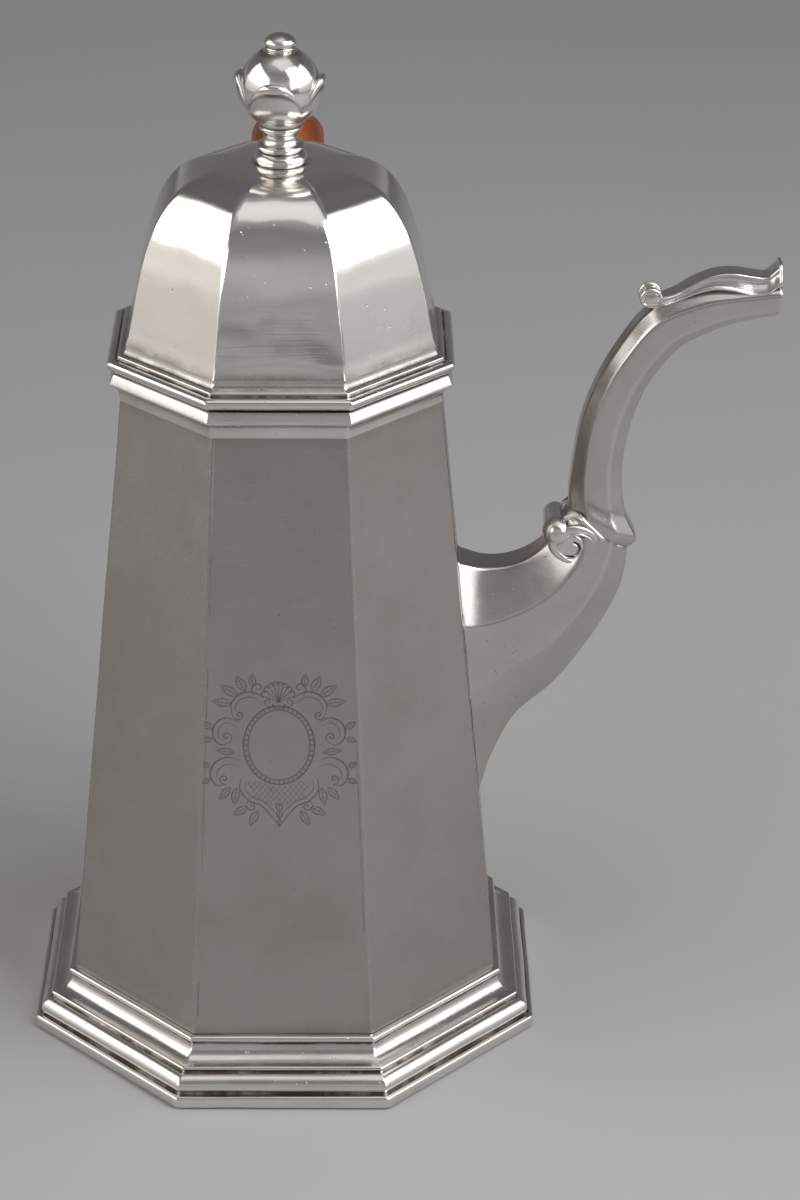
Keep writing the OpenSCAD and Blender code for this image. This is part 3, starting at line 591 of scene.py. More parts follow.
def cartouche():
    """A blank oval in a scroll frame, with a shell above and a latticed drop below."""
    e = Engraver(19.2, 22.5)
    for rx, ry, w in ((7.4, 9.0, 0.16), (8.5, 10.1, 0.2)):
        e.stroke(arc(0, OVAL_Y, rx, ry, 0, 360, 90), w, mirror=False)
    for x, y in arc(0, OVAL_Y, 7.95, 9.55, 0, 360, 45)[:-1]:
        e.stroke(arc(x, y, 0.26, 0.26, 0, 360, 8), 0.12, 0.8, mirror=False)
    for k in range(-4, 5):
        ray, base = polar(90 + SHELL_TURN * k), np.array([0.28 * k, SHELL_Y])
        e.stroke([base + ray * 0.6, base + ray * 4.6], 0.15, 0.9, 0.4, False)
    for k in range(-4, 4):
        turn = 90 + SHELL_TURN * (k + 0.5)
        x, y = polar(turn) * 4.75 + [0.28 * k, SHELL_Y]
        e.stroke(arc(x, y, 0.85, 0.85, turn - 95, turn + 95, 12), 0.17, mirror=False)
    e.stroke(arc(0, 11.0, 1.5, 1.1, 180, 360, 14), 0.16, mirror=False)
    for width, deep, taper, *points in FRAME_LINES:
        e.stroke(dense_path(points, 9), width, deep, taper)
    for *spiral, width, taper in CURLS:
        e.stroke(scroll(*spiral), width, 1, taper)
    for row in LEAVES:
        leaf(e, *row)
    for k in range(3):
        leaf(e, 0, -14.6 - 2.0 * k, 2.2, 0.75 - 0.12 * k, -90, 0, False)
    t = np.linspace(-6, 6, 60)
    for k in range(-12, 13):
        for up in (1, -1):
            line = places(k * 1.35 + t, LATTICE_Y + up * t * 1.25)
            inside = in_lattice(*line.T)
            for i in np.flatnonzero(inside[:-1] & inside[1:]):
                e.stroke(line[i:i + 2], 0.1, 0.65, 0, False)
    return e


# ---- foot, rim and cover mouldings
def beside(a, line):
    """An outline given by its distances from a flat at a."""
    return [(a + d, z) for d, z in line]


FOOT_LINE = beside(BODY_LOW_FLAT, (
    (9.45, 0), (10.15, 0.4), (10.45, 1.4), (10.45, 2.9), (9.95, 3.75), (8.65, 3.75), (8.6, 4.05),
    (8.85, 4.65), (8.9, 5.45), (8.6, 6.4), (7.95, 7.25), (7.05, 7.9), (6.0, 8.25), (5.65, 8.5),
    (5.95, 8.7), (6.25, 9.1), (6.2, 9.6), (5.8, 9.9), (5.2, 9.95), (4.1, 10.1), (2.9, 10.6),
    (1.95, 11.35), (1.35, 12.25), (1.1, 13.15), (1.1, 13.85), (1.6, 14.15), (1.85, 14.75),
    (1.55, 15.5), (0.9, 15.8)))
LEDGE = -BODY_WALL - 3
FOOT_BACK = beside(BODY_LOW_FLAT, (
    (LEDGE, FOOT_H), (LEDGE, FOOT_H - FOOT_WALL), (-0.45, FOOT_H - FOOT_WALL), (-0.45, 12.75),
    (0.7, 10.35), (2.3, 9.15), (4.15, 8.43), (5.2, 7.1), (6.85, 6.17), (7.35, 5.35), (7.2, 3.75),
    (7.7, 2.25), (7.95, 2.25), (7.95, 0)))
octagon_piece("foot", FOOT_LINE, FOOT_BACK, 0, "pot", ["foot_moulding"], arris=1.3, ripple=0.11,
              seed=11, worn=1.3)

RIM_LINE = beside(BODY_TOP_FLAT, (
    (0.15, 0), (0.15, 0.8), (0.3, 1.8), (0.65, 2.65), (1.15, 3.35), (1.75, 3.8), (2.3, 4.05),
    (2.5, 4.45), (2.4, 4.9), (1.65, 6.6), (1.4, 6.95), (1.0, 7.1)))
octagon_piece("rim", RIM_LINE, [(RIM_IN, RIM_H), (RIM_IN, 0)], BODY_TOP, "pot", ["rim_moulding"],
              arris=1.1, ripple=0.08, seed=12)

BAND_LINE = beside(ROLL, (
    (-1.7, 0), (-0.95, 0.35), (-0.3, 0.95), (0, 1.7), (-0.05, 2.3), (-0.4, 2.8), (-1.05, 3.1),
    (-1.9, 3.15), (-2.45, 3.25), (-2.5, 3.55), (-2.45, 3.85), (-2.7, 4.15), (-3.15, 4.2),
    (-3.6, 4.35), (-4.05, 4.75), (-4.35, 5.4))) + [(DOME_FLAT + 0.35, BAND_H)]
octagon_piece("cover_band", BAND_LINE, [(DOME_FLAT - DOME_WALL, BAND_H), (BEZEL, 4.6), (BEZEL, 0)],
              COVER_Z, "cover", ["cover_moulding"], arris=1.3, ripple=0.08, seed=13)


# ---- body
ENGRAVED_Z = (68.0, 116.0)
CARTOUCHE_X, CARTOUCHE_Z, CUT_DEPTH = -0.5, 92.4, 0.06
# the strainer: its window in the panel behind the spout, and the holes in it
WINDOW_Z, WINDOW_SHARE = (80.0, 112.0), 0.805
HOLE_R, HOLE_STEP, HOLE_POINTS, STRAINER_Z = 1.5, 5.0, 24, SPOUT_Z + 6
BODY_ARRIS = 1.3


def body_piece():
    octa = Octagon(10, 6, {FRONT: 250})
    rows = np.unique(np.concatenate([np.linspace(FOOT_H, ENGRAVED_Z[0], 12),
                                     np.arange(*ENGRAVED_Z, 0.16),
                                     np.linspace(ENGRAVED_Z[1], BODY_TOP, 12)]).round(4))
    a = body_flat(rows)
    p = octa.turn(places(a, rows), BODY_ARRIS)
    depth = np.zeros(p.shape[:2])
    panel = (octa.side == FRONT) & (abs(octa.along) <= 1)
    depth[:, panel] = cartouche().at(p[:, panel, 0] - CARTOUCHE_X, p[:, panel, 2] - CARTOUCHE_Z)
    ripple = wave(p, 60, 21) * 0.10 + wave(p, 17, 22) * 0.018
    p = p + grid_normals(p) * (ripple - CUT_DEPTH * depth)[..., None]
    p[:, :, 2] = rows[:, None]
    inner = octa.turn(places(a - BODY_WALL, rows), 0.2)

    # both skins of the wall, open at the strainer's window
    j0, j1 = (int(np.searchsorted(rows, z)) for z in WINDOW_Z)
    c0, c1 = np.flatnonzero((octa.side == SPOUT_SIDE) & (abs(octa.along) < WINDOW_SHARE))[[0, -1]]
    wall = np.ones((len(rows) - 1, p.shape[1]), bool)
    wall[j0:j1, c0:c1] = False
    faces = grid_faces(*p.shape[:2])[wall]
    relief = np.broadcast_to(0.75 * octa.arris, p.shape[:2]).copy()
    # painted shade on the panels beside the mouldings, where they meet them
    relief[rows > BODY_TOP - 1.2] -= 0.45
    relief[rows < FOOT_H + 1.2] -= 0.5
    s = Shape()
    s.add(p, faces, relief)
    s.add(inner, faces, -0.25, flip=True)

    # the window's plate, pierced by the strainer's holes
    edge = [(j0, i) for i in range(c0, c1)] + [(j, c1) for j in range(j0, j1)] \
        + [(j1, i) for i in range(c1, c0, -1)] + [(j, c0) for j in range(j1, j0, -1)]
    holes = [((col - (4 - abs(row)) / 2) * HOLE_STEP, STRAINER_Z + row * HOLE_STEP * 0.87)
             for row in range(-2, 3) for col in range(5 - abs(row))]
    ring = full_turn(HOLE_POINTS)
    for grid, less, flip in ((p, 0, False), (inner, BODY_WALL, True)):
        flat = [(grid[j, i, 1], grid[j, i, 2]) for j, i in edge]
        count = len(flat)
        lines = [(k, (k + 1) % count) for k in range(count)]
        for y, z in holes:
            first = len(flat)
            flat += [(y + HOLE_R * math.cos(t), z + HOLE_R * math.sin(t)) for t in ring]
            lines += [(first + k, first + (k + 1) % HOLE_POINTS) for k in range(HOLE_POINTS)]
        v, _, triangles, *_ = delaunay_2d_cdt([Vector(q) for q in flat], lines, [], 0, 1e-4)
        v = np.array([list(q) for q in v])
        plate = [t for t in triangles if np.hypot(
            *(v[list(t)].mean(0) - holes).T).min() > HOLE_R * 0.98]
        x = body_flat(v[:, 1]) - less
        x[:count] = [grid[j, i, 0] for j, i in edge]
        s.add(places(x, v[:, 0], v[:, 1]), plate, flip=flip)
    for y, z in holes:
        yy, zz = y + HOLE_R * np.cos(ring), z + HOLE_R * np.sin(ring)
        out = places(body_flat(zz), yy, zz)
        s.grid(np.stack([out - [BODY_WALL, 0, 0], out]), flip=True)
    for j, flip in ((0, True), (-1, False)):
        s.grid(np.stack([p[j], inner[j]]), flip=flip)
    cut = np.zeros(s.count)
    cut[:depth.size] = depth.ravel()
    s.piece("body_panels", "pot", SATIN, ["body"], "silver_satin", engraved=cut)


body_piece()


# ---- dome
def dome_outline():
    """The dome's flat distance and height, from its foot to the small flat under the finial."""
    n = 46
    out = [(DOME_FLAT + 0.3, 0.0)]
    for i in range(1, n + 1):
        h = 1 - (1 - i / n) ** 2.4
        a = (DOME_FLAT - DOME_LEAN * h * DOME_H) * max(0, 1 - h ** DOME_UP) ** (1 / DOME_IN)
        if a > PLATEAU + 1:
            out.append((a, h * DOME_H))
    return np.array(out + [(PLATEAU, DOME_H)])


def dome_piece():
    line = dome_outline()
    octa = Octagon(18, 6)
    full = np.concatenate([line, [(a, DOME_H) for a in (6.0, 4.0, 1.9)]])
    rise = full[:, 1] / DOME_H
    # the arrises soften as the dome closes
    p = octa.turn(full, 0.8 + 2.2 * rise ** 3, DOME_Z)
    # dents, strongest on the front facet and none at the edge or under the finial
    fade = np.clip(rise * 6, 0, 1) * np.clip((full[:, 0] - 6.0) / 6.0, 0, 1)
    front = octa.side == FRONT
    swell = wave(p, 30, 31) * 0.16 + wave(p, 12, 32) * 0.10 + wave(p, 6.5, 33) * 0.022 * front
    swell = swell * fade[:, None] * np.where(front, 1.0, 0.3)
    p = p + grid_normals(p) * swell[..., None]
    under = DOME_H - DOME_WALL
    inside = places(line[1:-1, 0] - DOME_WALL * 0.9, np.minimum(line[1:-1, 1], under))
    inner = octa.turn([(DOME_FLAT - DOME_WALL, 0.0), *inside, (PLATEAU, under), (1.9, under)],
                      0.6, DOME_Z)
    relief = 0.5 * octa.arris * (1 - 0.75 * rise ** 2)[:, None]
    # painted shade along the dome's foot, where it meets the cover band
    relief[0] -= 0.8
    relief[1] -= 0.3
    # a painted contact shadow round the finial's foot on the small flat
    near = np.hypot(p[:, :, 0], p[:, :, 1])
    relief -= 0.9 * bell(near, FINIAL_R, 0.8) * (rise > 0.99)[:, None]
    s = Shape()
    s.grid(p, relief)
    s.grid(inner, -0.2, flip=True)
    s.grid(np.stack([inner[0], p[0]]), -0.4)
    s.grid(np.stack([p[-1], inner[-1]]))
    s.piece("dome", "cover", MIRROR, ["cover_dome"], sharp=50)


dome_piece()


# ---- finial
STEM_H = BALL_UP - BALL_R * 0.92
STEM_LINE = beside(FINIAL_R, (
    (-0.5, 0), (-0.12, 0.3), (0, 0.9), (-0.08, 1.5), (-0.5, 2.2), (-1.15, 2.7))) + beside(NECK_R, (
        (0.95, 2.85), (0.9, 3.15), (1.35, 3.3), (1.7, 3.7), (1.7, 4.1), (1.4, 4.5), (0.75, 4.72),
        (0.25, 5.3), (0, 6), (0, 6.6), (0.25, 7.3), (0.62, 7.7), (0.78, 7.95), (1.0, 8.25),
        (1.0, 8.75), (0.7, 9.05), (0.65, STEM_H - 0.6), (0.65, STEM_H + 1.2)))
BUTTON_LINE = beside(BUTTON_R, (
    (-0.6, 0), (-0.36, 0.25), (-0.36, 0.75), (-0.62, 1.05), (-0.2, 1.32), (0, 1.9), (-0.12, 2.4),
    (-0.7, 3.1), (-1.8, 3.72), (-3, 4.05))) + [(0.05, BUTTON_H)]
STUD_LOW = -DOME_WALL - 6
BALL_TOP = BALL_R - 0.9


def finial():
    line = soft_line(STEM_LINE, 0.12, 52, 0.08)
    stud = STUD_R - 0.02
    s = Shape()
    s.grid(lathe(line, 96, DOME_TOP), line_relief(line, 0.28)[:, None])
    s.grid(lathe([(stud, STUD_LOW), (stud, 0), (FINIAL_R - 0.5, 0)], 48, DOME_TOP))
    s.grid(lathe([(0, STUD_LOW), (stud, STUD_LOW)], 48, DOME_TOP))
    s.piece("finial_stem_turned", "cover", BRIGHT, ["finial_stem"])

    t = np.linspace(-math.pi / 2, math.asin(BALL_TOP / BALL_R), 60)
    ball = places(BALL_R * np.cos(t), BALL_R * np.sin(t))
    s = Shape()
    # the ball's top is darkened as painted shade under the button
    s.grid(lathe(ball, 96, BALL_Z), -0.9 * bell(ball[:, 1], BALL_TOP, 0.8)[:, None])
    s.grid(lathe([ball[-1], (0, ball[-1, 1])], 96, BALL_Z))
    s.piece("finial_ball_polished", "cover", MIRROR, ["finial_ball"])

    line = soft_line(BUTTON_LINE, 0.1, 60, 0.06)
    s = Shape()
    s.grid(lathe(line, 80, BUTTON_Z), line_relief(line, 0.25)[:, None])
    s.piece("finial_button_turned", "cover", BRIGHT, ["finial_button"], sharp=None)


# a petal's rolled rim: angle from the petal's middle, height from the ball's middle, half thickness
PETAL_TURN = math.radians(-9)
PETAL = [(0, 1.9, 1.2), (8, 1.85, 1.17), (15, 1.5, 0.94), (22, 0.85, 0.6), (28, 0.0, 0.4),
         (34, -1.3, 0.3), (40, -2.75, 0.22), (45, -3.75, 0.18)]
CUP_R = BALL_R + 0.35


def finial_cup():
    """Four arched petals that rise from the stem and hold the ball, each with a rolled rim."""
    right = resample(PETAL, 29)
    phi, edge, thick = np.concatenate([right[:0:-1] * [-1, 1, 1], right]).T
    mid = np.array([0, 0, BALL_Z])
    low = -CUP_R * 0.90
    k = np.linspace(0, 1, 26)[:, None]
    z = low + (edge - low) * k
    r = np.sqrt(np.maximum(CUP_R ** 2 - z * z, 0.1)) + 0.5 * np.sin(math.pi * k ** 0.8) ** 0.7 \
        + 0.35 * smoothstep(k, 0.6, 1.0) * thick ** 2
    rim_r = np.sqrt(BALL_R ** 2 - edge ** 2) + 0.45 * thick
    petals, rims, sides = [], [], 18
    for q in range(4):
        th = np.radians(phi) + q * math.pi / 2 + PETAL_TURN
        petals.append(places(r * np.cos(th), r * np.sin(th), z + BALL_Z)[:, :-1])
        path = places(rim_r * np.cos(th), rim_r * np.sin(th), edge + BALL_Z)
        t = unit(np.gradient(path, axis=0))
        out = (path - mid) * [1, 1, 0]
        out = unit(out - (out * t).sum(1, keepdims=True) * t)
        rims.append(bar(path, thick, out * 0.85, np.cross(t, out), sides))
    s = Shape()
    p = np.concatenate(petals, 1)
    # a band of painted shade on the petals just under their rolled rims
    s.grid(p, -0.7 * bell(k, 0.88, 0.07))
    v = p - mid
    length = np.linalg.norm(v, axis=2, keepdims=True)
    s.grid(mid + v / length * np.minimum(length - 0.3, BALL_R + 0.06), -0.5, flip=True)
    for rim in rims:
        s.grid(rim, 0.25 + 0.2 * np.cos(full_turn(sides)))
    s.piece("finial_petals", "cover", BRIGHT, ["finial_cup"])


finial()
finial_cup()


# ---- spout
SPOUT_WALL = 1.25
ROLL_HALF = 7.6
# eight-sided stations: top x z, low x z, half widths at the top, sides and bottom, and where the
# sides' corners lie between top and low
JOINT = (70.3, 136.4, 85, 125.3, 3.1, 7.4, 3.1, 0.29, 0.71)
AT_PANEL = (4.45, 10.6, 2.12, 0.22, 0.52)
ROOT = [
    (body_flat(122) - 3, 122, body_flat(56) - 3, 56, *AT_PANEL),
    (body_flat(122), 122, body_flat(56), 56, *AT_PANEL),
    (49, 120.4, 52.3, 66.5, 4.45, 10.6, 3.18, 0.24, 0.54),
    (55, 120.7, 58.2, 79, 4.45, 10.5, 3.8, 0.27, 0.58),
    (60.5, 122.8, 68, 88.9, 4.24, 10.07, 4.24, 0.29, 0.63),
    (65.2, 126.8, 77.4, 102, 3.6, 9.0, 3.4, 0.33, 0.66),
    (68.6, 131.8, 83.4, 114.5, 3.1, 7.84, 3.26, 0.34, 0.68),
    JOINT]
NECK = [
    JOINT,
    (70.1, 138.2, 87, 127.8, 3.1, 7.55, 3.1, 0.28, 0.71),
    (70.2, 142, 84.2, 134.6, 2.56, 6.47, 2.56, 0.26, 0.71),
    (70.9, 148.5, 83, 145.5, 2.56, 6.2, 2.56, 0.24, 0.71),
    (72.2, 157.3, 84.1, 155.6, 2.56, 6.1, 2.56, 0.225, 0.71),
    (75.1, 167, 86.7, 164.6, 2.56, 6.1, 2.56, 0.2, 0.71),
    (80, 177, 90.2, 171.2, 2.56, 6.1, 2.56, 0.19, 0.71),
    (88, 187.6, 95.8, 178.2, 2.56, 6.1, 2.56, 0.205, 0.72),
    (99.5, 193, 103.6, 182.5, 2.68, 5.98, 2.56, 0.24, 0.74),
    (110, 193.8, 111.4, 185, 3.24, 5.62, 2.27, 0.2, 0.74),
    (119.2, 194.4, 118.5, 186.3, 3.67, 5.4, 2.27, 0.18, 0.74)]


def eight(s, t):
    """The eight corners of a spout section, moved inwards by t."""
    a, b = s[0:2], s[2:4]
    d = b - a
    u = d / np.linalg.norm(d)
    places = (a + u * t, a + d * s[7] + u * 0.35 * t, a + d * s[8] - u * 0.35 * t, b - u * t)
    widths = (s[4] - 0.42 * t, s[5] - t, s[5] - t, s[6] - 0.42 * t)
    right = [(x, w, z) for (x, z), w in zip(places, widths)]
    left = [(x, -w, z) for x, w, z in right]
    return np.array([left[0], *right, *left[:0:-1]])


def eased(corners, r):
    """A closed outline with its corners eased by r, and which points lie on the eased arrises."""
    arc_n, side_n = 5, 7
    out, on = [], []
    for c, prev, nxt in zip(corners, np.roll(corners, 1, 0), np.roll(corners, -1, 0)):
        lp, ln = np.linalg.norm(prev - c), np.linalg.norm(nxt - c)
        a = c + (prev - c) / lp * min(r, lp * 0.4)
        b = c + (nxt - c) / ln * min(r, ln * 0.4)
        e = nxt + (c - nxt) / ln * min(r, ln * 0.4)
        for t in np.arange(arc_n + 1) / arc_n:
            out.append((1 - t) ** 2 * a + 2 * t * (1 - t) * c + t * t * b)
            on.append(math.sin(math.pi * t))
        for t in np.arange(1, side_n) / side_n:
            out.append(b + (e - b) * t)
            on.append(0.0)
    return np.array(out), np.array(on)


def spout_grid(stations, us, t, ease):
    """Rings of a casting at the stations us, t inside its outer skin, and its arrises."""
    rows, on = zip(*(eased(eight(curve_at(stations, u), t), ease) for u in us))
    return np.array(rows), on[0]


def ripple_grid(p, amount, size, seed):
    """Unevenness over a grid, with its first and last two rings held."""
    held = np.ones(len(p))
    held[:2] = held[-2:] = 0
    return p + grid_normals(p) * (wave(p, size, seed) * amount * held[:, None])[..., None]


def spout_root():
    last = len(ROOT) - 1
    us = np.concatenate([[0.96], np.linspace(1, last, 64)])
    p, on = spout_grid(ROOT, us, 0, 0.85)
    # the sides spread where the root meets the panel
    near_panel = np.clip((body_flat(110) + 8.5 - p[:, :, 0]) / 8.5, 0, 1) ** 1.6
    p[:, :, 1] *= 1 + 0.15 * near_panel * smoothstep(p[:, :, 2], 92, 104)
    # a narrow solder flange there
    p = p + unit(p - p.mean(1, keepdims=True)) * 0.55 * bell(us, 1.0, 0.09)[:, None, None]
    p[:2, :, 0] = body_flat(p[:2, :, 2]) + np.array([-0.25, 0.0])[:, None]
    p = ripple_grid(p, 0.09, 15, 41)
    q, _ = spout_grid(ROOT, np.linspace(last, 1, 30), SPOUT_WALL, 0.4)
    # painted shade where the root meets the body panel and where it meets the neck
    joint_shade = 0.9 * bell(us, 1.0, 0.06) + 0.5 * smoothstep(us, last - 0.25, last)
    s = Shape()
    s.grid(p, 0.5 * on - joint_shade[:, None], flip=True)
    s.grid(q, -0.5, flip=True)
    s.grid(np.stack([p[-1], q[0]]), flip=True)
    s.piece("spout_root_cast", "pot", CAST, ["spout_root"], sharp=55)


# the neck's open end: how far each ring lies inside the skin and beyond the last station
MOUTH_EDGE = ((0.12, 0.12), (0.4, 0.2), (0.85, 0.12), (1.15, 0.0))


def spout_neck():
    last = len(NECK) - 1
    us = np.linspace(0, last, 96)
    p, on = spout_grid(NECK, us, 0, 0.85)
    p = ripple_grid(p, 0.06, 13, 42)
    mouth = [spout_grid(NECK, [last], t, 0.4)[0][0] + [d, 0, 0] for t, d in MOUTH_EDGE]
    q, _ = spout_grid(NECK, np.linspace(last, 0, 60), SPOUT_WALL, 0.35)
    # worn arrises, and painted shade at the neck's foot next to the joint with the root
    relief = 0.55 * on - 0.7 * smoothstep(us, 0.35, 0.0)[:, None]
    s = Shape()
    s.grid(np.concatenate([p, mouth, q]), flip=True, relief=np.concatenate(
        [relief, np.full((len(mouth), len(on)), 0.5), np.full(q.shape[:2], -0.6)]))
    s.grid(np.stack([q[-1], p[0]]), flip=True)
    s.piece("spout_neck_cast", "pot", CAST, ["spout_neck"], sharp=55)


SCROLL_X, SCROLL_Z = 67.35, 130.7
# the roll across the joint: distance along it, radius; its two ends were worked by hand
ROLL_LINE = [(-8.6, 0.03), (-8.45, 1.2), (-8.0, 2.2), (-7.2, 3.0), (-6.1, 3.5), (-4.9, 3.7),
             (-3.2, 3.6), (-1.2, 3.4), (1.0, 3.25), (3.0, 3.15), (4.9, 3.1), (6.2, 2.9),
             (7.2, 2.3), (7.75, 1.2), (7.9, 0.03)]
# the volute at each end, all as x z: its eye, the groove in it, the ribbon round it, and the
# upper and lower edge of the leaf along the joint
EYE, EYE_R = np.array([70.2, 127.6]), 3.75
HOOK = [(71.6, 128.75), (72.4, 128.2), (72.8, 127.1), (72.4, 126.0), (71.7, 125.2),
        (70.75, 124.9), (69.5, 125.05), (68.25, 125.7), (67.25, 126.6)]
RIBBON = [(77.3, 128.9), (76.4, 130.2), (75.1, 131.25), (73.4, 131.9), (71.5, 132.05),
          (69.7, 131.6), (67.9, 130.4), (66.6, 128.9), (66.3, 127.5), (67.2, 125.9),
          (68.7, 124.5), (70.3, 123.6), (71.9, 123.3)]
LEAF_TOP = [(70.6, 136.0), (72.3, 135.9), (73.8, 135.1), (75.9, 133.1), (78.4, 130.45),
            (80.8, 128.3), (83.8, 126.6)]
LEAF_LOW = [(68.6, 134.0), (71.0, 134.2), (73.4, 133.3), (75.3, 131.8), (77.0, 129.8),
            (79.0, 127.2), (83.0, 126.0)]


def volute(s, side):
    """The curled end of the roll on one side, with its ribbon and leaf."""
    # the eye: a low round face with one hooked groove cut into it
    k = np.linspace(0, 1, 40)[:, None]
    th = full_turn(132)
    x, z = (c + EYE_R * k * f(th) for c, f in zip(EYE, (np.cos, np.sin)))
    groove = bell(far_from(x, z, HOOK), 0, 0.27)
    swell = np.sqrt(np.maximum(1 - k ** 7, 0))
    y = side * (ROLL_HALF - 0.75 + swell - 0.8 * groove + 0.0224 * (x - EYE[0]))
    s.grid(places(x, y, z), 0.05 - groove * 1.2, flip=side > 0)
    # the ribbon that curls over and round the eye, with a thin second line inside it
    path = resample(RIBBON, 96)
    u = np.linspace(0, 1, len(path))
    taper = np.interp(u, [0, 0.1, 0.35, 0.6, 0.8, 0.94, 1], [0.3, 0.62, 0.9, 0.95, 0.75, 0.5, 0.12])
    second = np.maximum(0.4 * taper * smoothstep(u, 0.52, 0.36), 0.03)
    for shift, out, size in ((0.0, 7.1, 1.35 * taper), (-1.15, 7.85, second)):
        x, z = (path + unit(path - EYE) * shift).T
        y = side * (out + 0.1 * np.sin(math.pi * u))
        s.grid(tube(places(x, y, z), size, 14, flat=0.75), 0.25)
    # the leaf between that ribbon and the neck's foot
    top, low = (resample(edge, 56)[:, None] for edge in (LEAF_TOP, LEAF_LOW))
    u = np.linspace(0, 1, len(top))[:, None]
    v = np.linspace(0, 1, 15)
    x, z = np.moveaxis(top * (1 - v)[:, None] + low * v[:, None], -1, 0)
    half = np.interp(u, [0, 0.3, 0.7, 1], [4.2, 6.9, 6.95, 4.9])
    hump = np.sin(math.pi * v)
    bulge = 0.65 * hump ** 0.7 * np.sin(math.pi * np.clip(u, 0.03, 0.96)) ** 0.6
    y = side * (half + 0.3 + bulge)
    s.grid(places(x, y, z), 0.5 * hump - 0.3, flip=side < 0, closed=False)


def spout_scroll():
    """The swelling roll across the joint, with a volute on each end."""
    a = full_turn(72)
    y, r = resample(ROLL_LINE, 150).T[:, :, None]
    s = Shape()
    s.grid(places(SCROLL_X + r * np.cos(a), y, SCROLL_Z + r * np.sin(a)), 0.1)
    for side in (-1, 1):
        volute(s, side)
    s.piece("spout_scroll_cast", "pot", BRIGHT, ["spout_scroll"])


# stations of the lip moulding: distance out, height of its rolled lower edge, height of its
# top edge, half the width across the lower edges
LIP = [(86.9, 188.9, 190.6, 1.9), (90.3, 188.75, 191.0, 2.5), (94.2, 190.5, 192.35, 3.3),
       (98.5, 192.6, 194.95, 3.75), (103.2, 193.9, 196.85, 4.05), (107.9, 193.6, 197.3, 4.3),
       (112.5, 192.6, 196.65, 4.75), (115.6, 193.2, 196.4, 4.9), (117.6, 194.5, 198.0, 4.7),
       (118.7, 195.2, 199.2, 4.45)]
LIP_TOP_W = 3.05
KNOB_X, KNOB_Z, KNOB_R, KNOB_HALF = 88.5, 190.4, 2.2, 2.3
# one half of the rolled rim over the mouth, up to its middle, as x y z
LIP_RIM = [(118.75, 4.5, 194.6), (118.85, 4.35, 195.6), (118.85, 3.55, 197.2),
           (118.85, 2.9, 198.6), (118.85, 1.9, 199.3), (118.85, 0, 199.45)]
# the end of the lip's edge that curls round the knob, as x y z
LIP_CURL = [(86.1, 2.15, 190.1), (86.25, 2.2, 191.5), (87.3, 2.2, 192.6), (88.8, 2.2, 192.75),
            (90.1, 2.2, 192.0), (90.55, 2.2, 190.9), (89.9, 2.25, 189.9)]


def lip_ring(x, low, top, half):
    """One closed section of the lip: crowned top, hollow sides and an edge rolled outwards."""
    wide = min(LIP_TOP_W, half - 0.4)
    side = [(0.0, top + 0.12), (-wide + 1.25, top + 0.1), (-wide + 0.45, top), (-wide, top - 0.3),
            (-wide - 0.2, low + 0.62 * (top - low)), (0.25 - half, low + 0.75),
            (-half, low + 0.45), (-half - 0.25, low + 0.1), (-half, low - 0.3),
            (-half + 0.7, low - 0.55), (0.0, low - 0.6)]
    loop = side + [(-y, z) for y, z in side[-2:0:-1]]
    ring = dense_path(loop + loop[:1], 4)[:-1]
    return np.column_stack([np.full(len(ring), x), ring])


def spout_lip():
    p = np.array([lip_ring(*row) for row in resample(LIP, 110)])
    place = np.arange(p.shape[1])
    place = np.minimum(place, p.shape[1] - place) / 4
    s = Shape()
    # relief round each ring: worn on the top edge and the rolled edge, a little tarnish in the
    # hollow above the rolled edge, and painted shade under the rolled edge and along the lip's
    # underside
    s.grid(p, np.interp(place, [0, 2, 3, 4, 5.3, 6.5, 7.2, 8.2, 9],
                        [0, 0.1, 0.6, 0, -0.45, 0.3, 0.6, -0.6, -1]), flip=True)
    end = p[-1].mean(0)
    s.grid(np.stack([end + (p[-1] - end) * share + [out, 0, 0] for share, out in (
        (1, 0), (0.9, 0.2), (0.5, 0.25), (0.02, 0.25))]), 0.2, flip=True)
    path = resample([(x, -y, z) for x, y, z in LIP_RIM] + LIP_RIM[-2::-1], 70)
    u = np.linspace(-1, 1, len(path))
    s.grid(tube(path, 0.5 - 0.3 * np.abs(u) ** 4, 14, (1, 0, 0)), 0.45)
    # the knob that starts the moulding, and the rolled edge that curls round it
    t = np.linspace(-1, 1, 41)[:, None]
    a = full_turn(56)
    r = KNOB_R * np.sqrt(np.maximum(1 - np.abs(t) ** 9, 0.0004))
    s.grid(places(KNOB_X + r * np.cos(a), KNOB_HALF * t, KNOB_Z + r * np.sin(a)),
           0.1 - 0.25 * smoothstep(np.abs(t), 0.8, 0.98))
    edge = [(x, half + 0.1, low) for x, low, _, half in LIP[::-1]]
    path = resample(edge + LIP_CURL, 170)
    size = np.interp(np.linspace(0, 1, len(path)), [0, 0.1, 0.55, 0.68, 0.85, 1],
                     [0.26, 0.3, 0.38, 0.5, 0.42, 0.15])
    for side in (-1, 1):
        s.grid(tube(path * [1, side, 1], size, 12), 0.5)
    s.piece("spout_lip_cast", "pot", BRIGHT, ["spout_lip"])


spout_root()
spout_neck()
spout_scroll()
spout_lip()


# ---- wooden handle
# outwards and upwards: the directions and ends of the sockets, and the radii of the tenons
UP_DIR, LOW_DIR = polar(40), polar(12)
UP_END = np.array([body_flat(153.0), 153.0]) + UP_DIR * 21.0
LOW_END = np.array([body_flat(62.0), 62.0]) + LOW_DIR * 18.0
TENON_UP, TENON_LOW, SHOULDER, TENON_LONG, SEAT = 7.6, 5.6, 1.3, 12.0, 0.02
WOOD_UP, WOOD_LOW = TENON_UP + SHOULDER, TENON_LOW + SHOULDER
REACH, TOP_Z = 108.0, 202.0
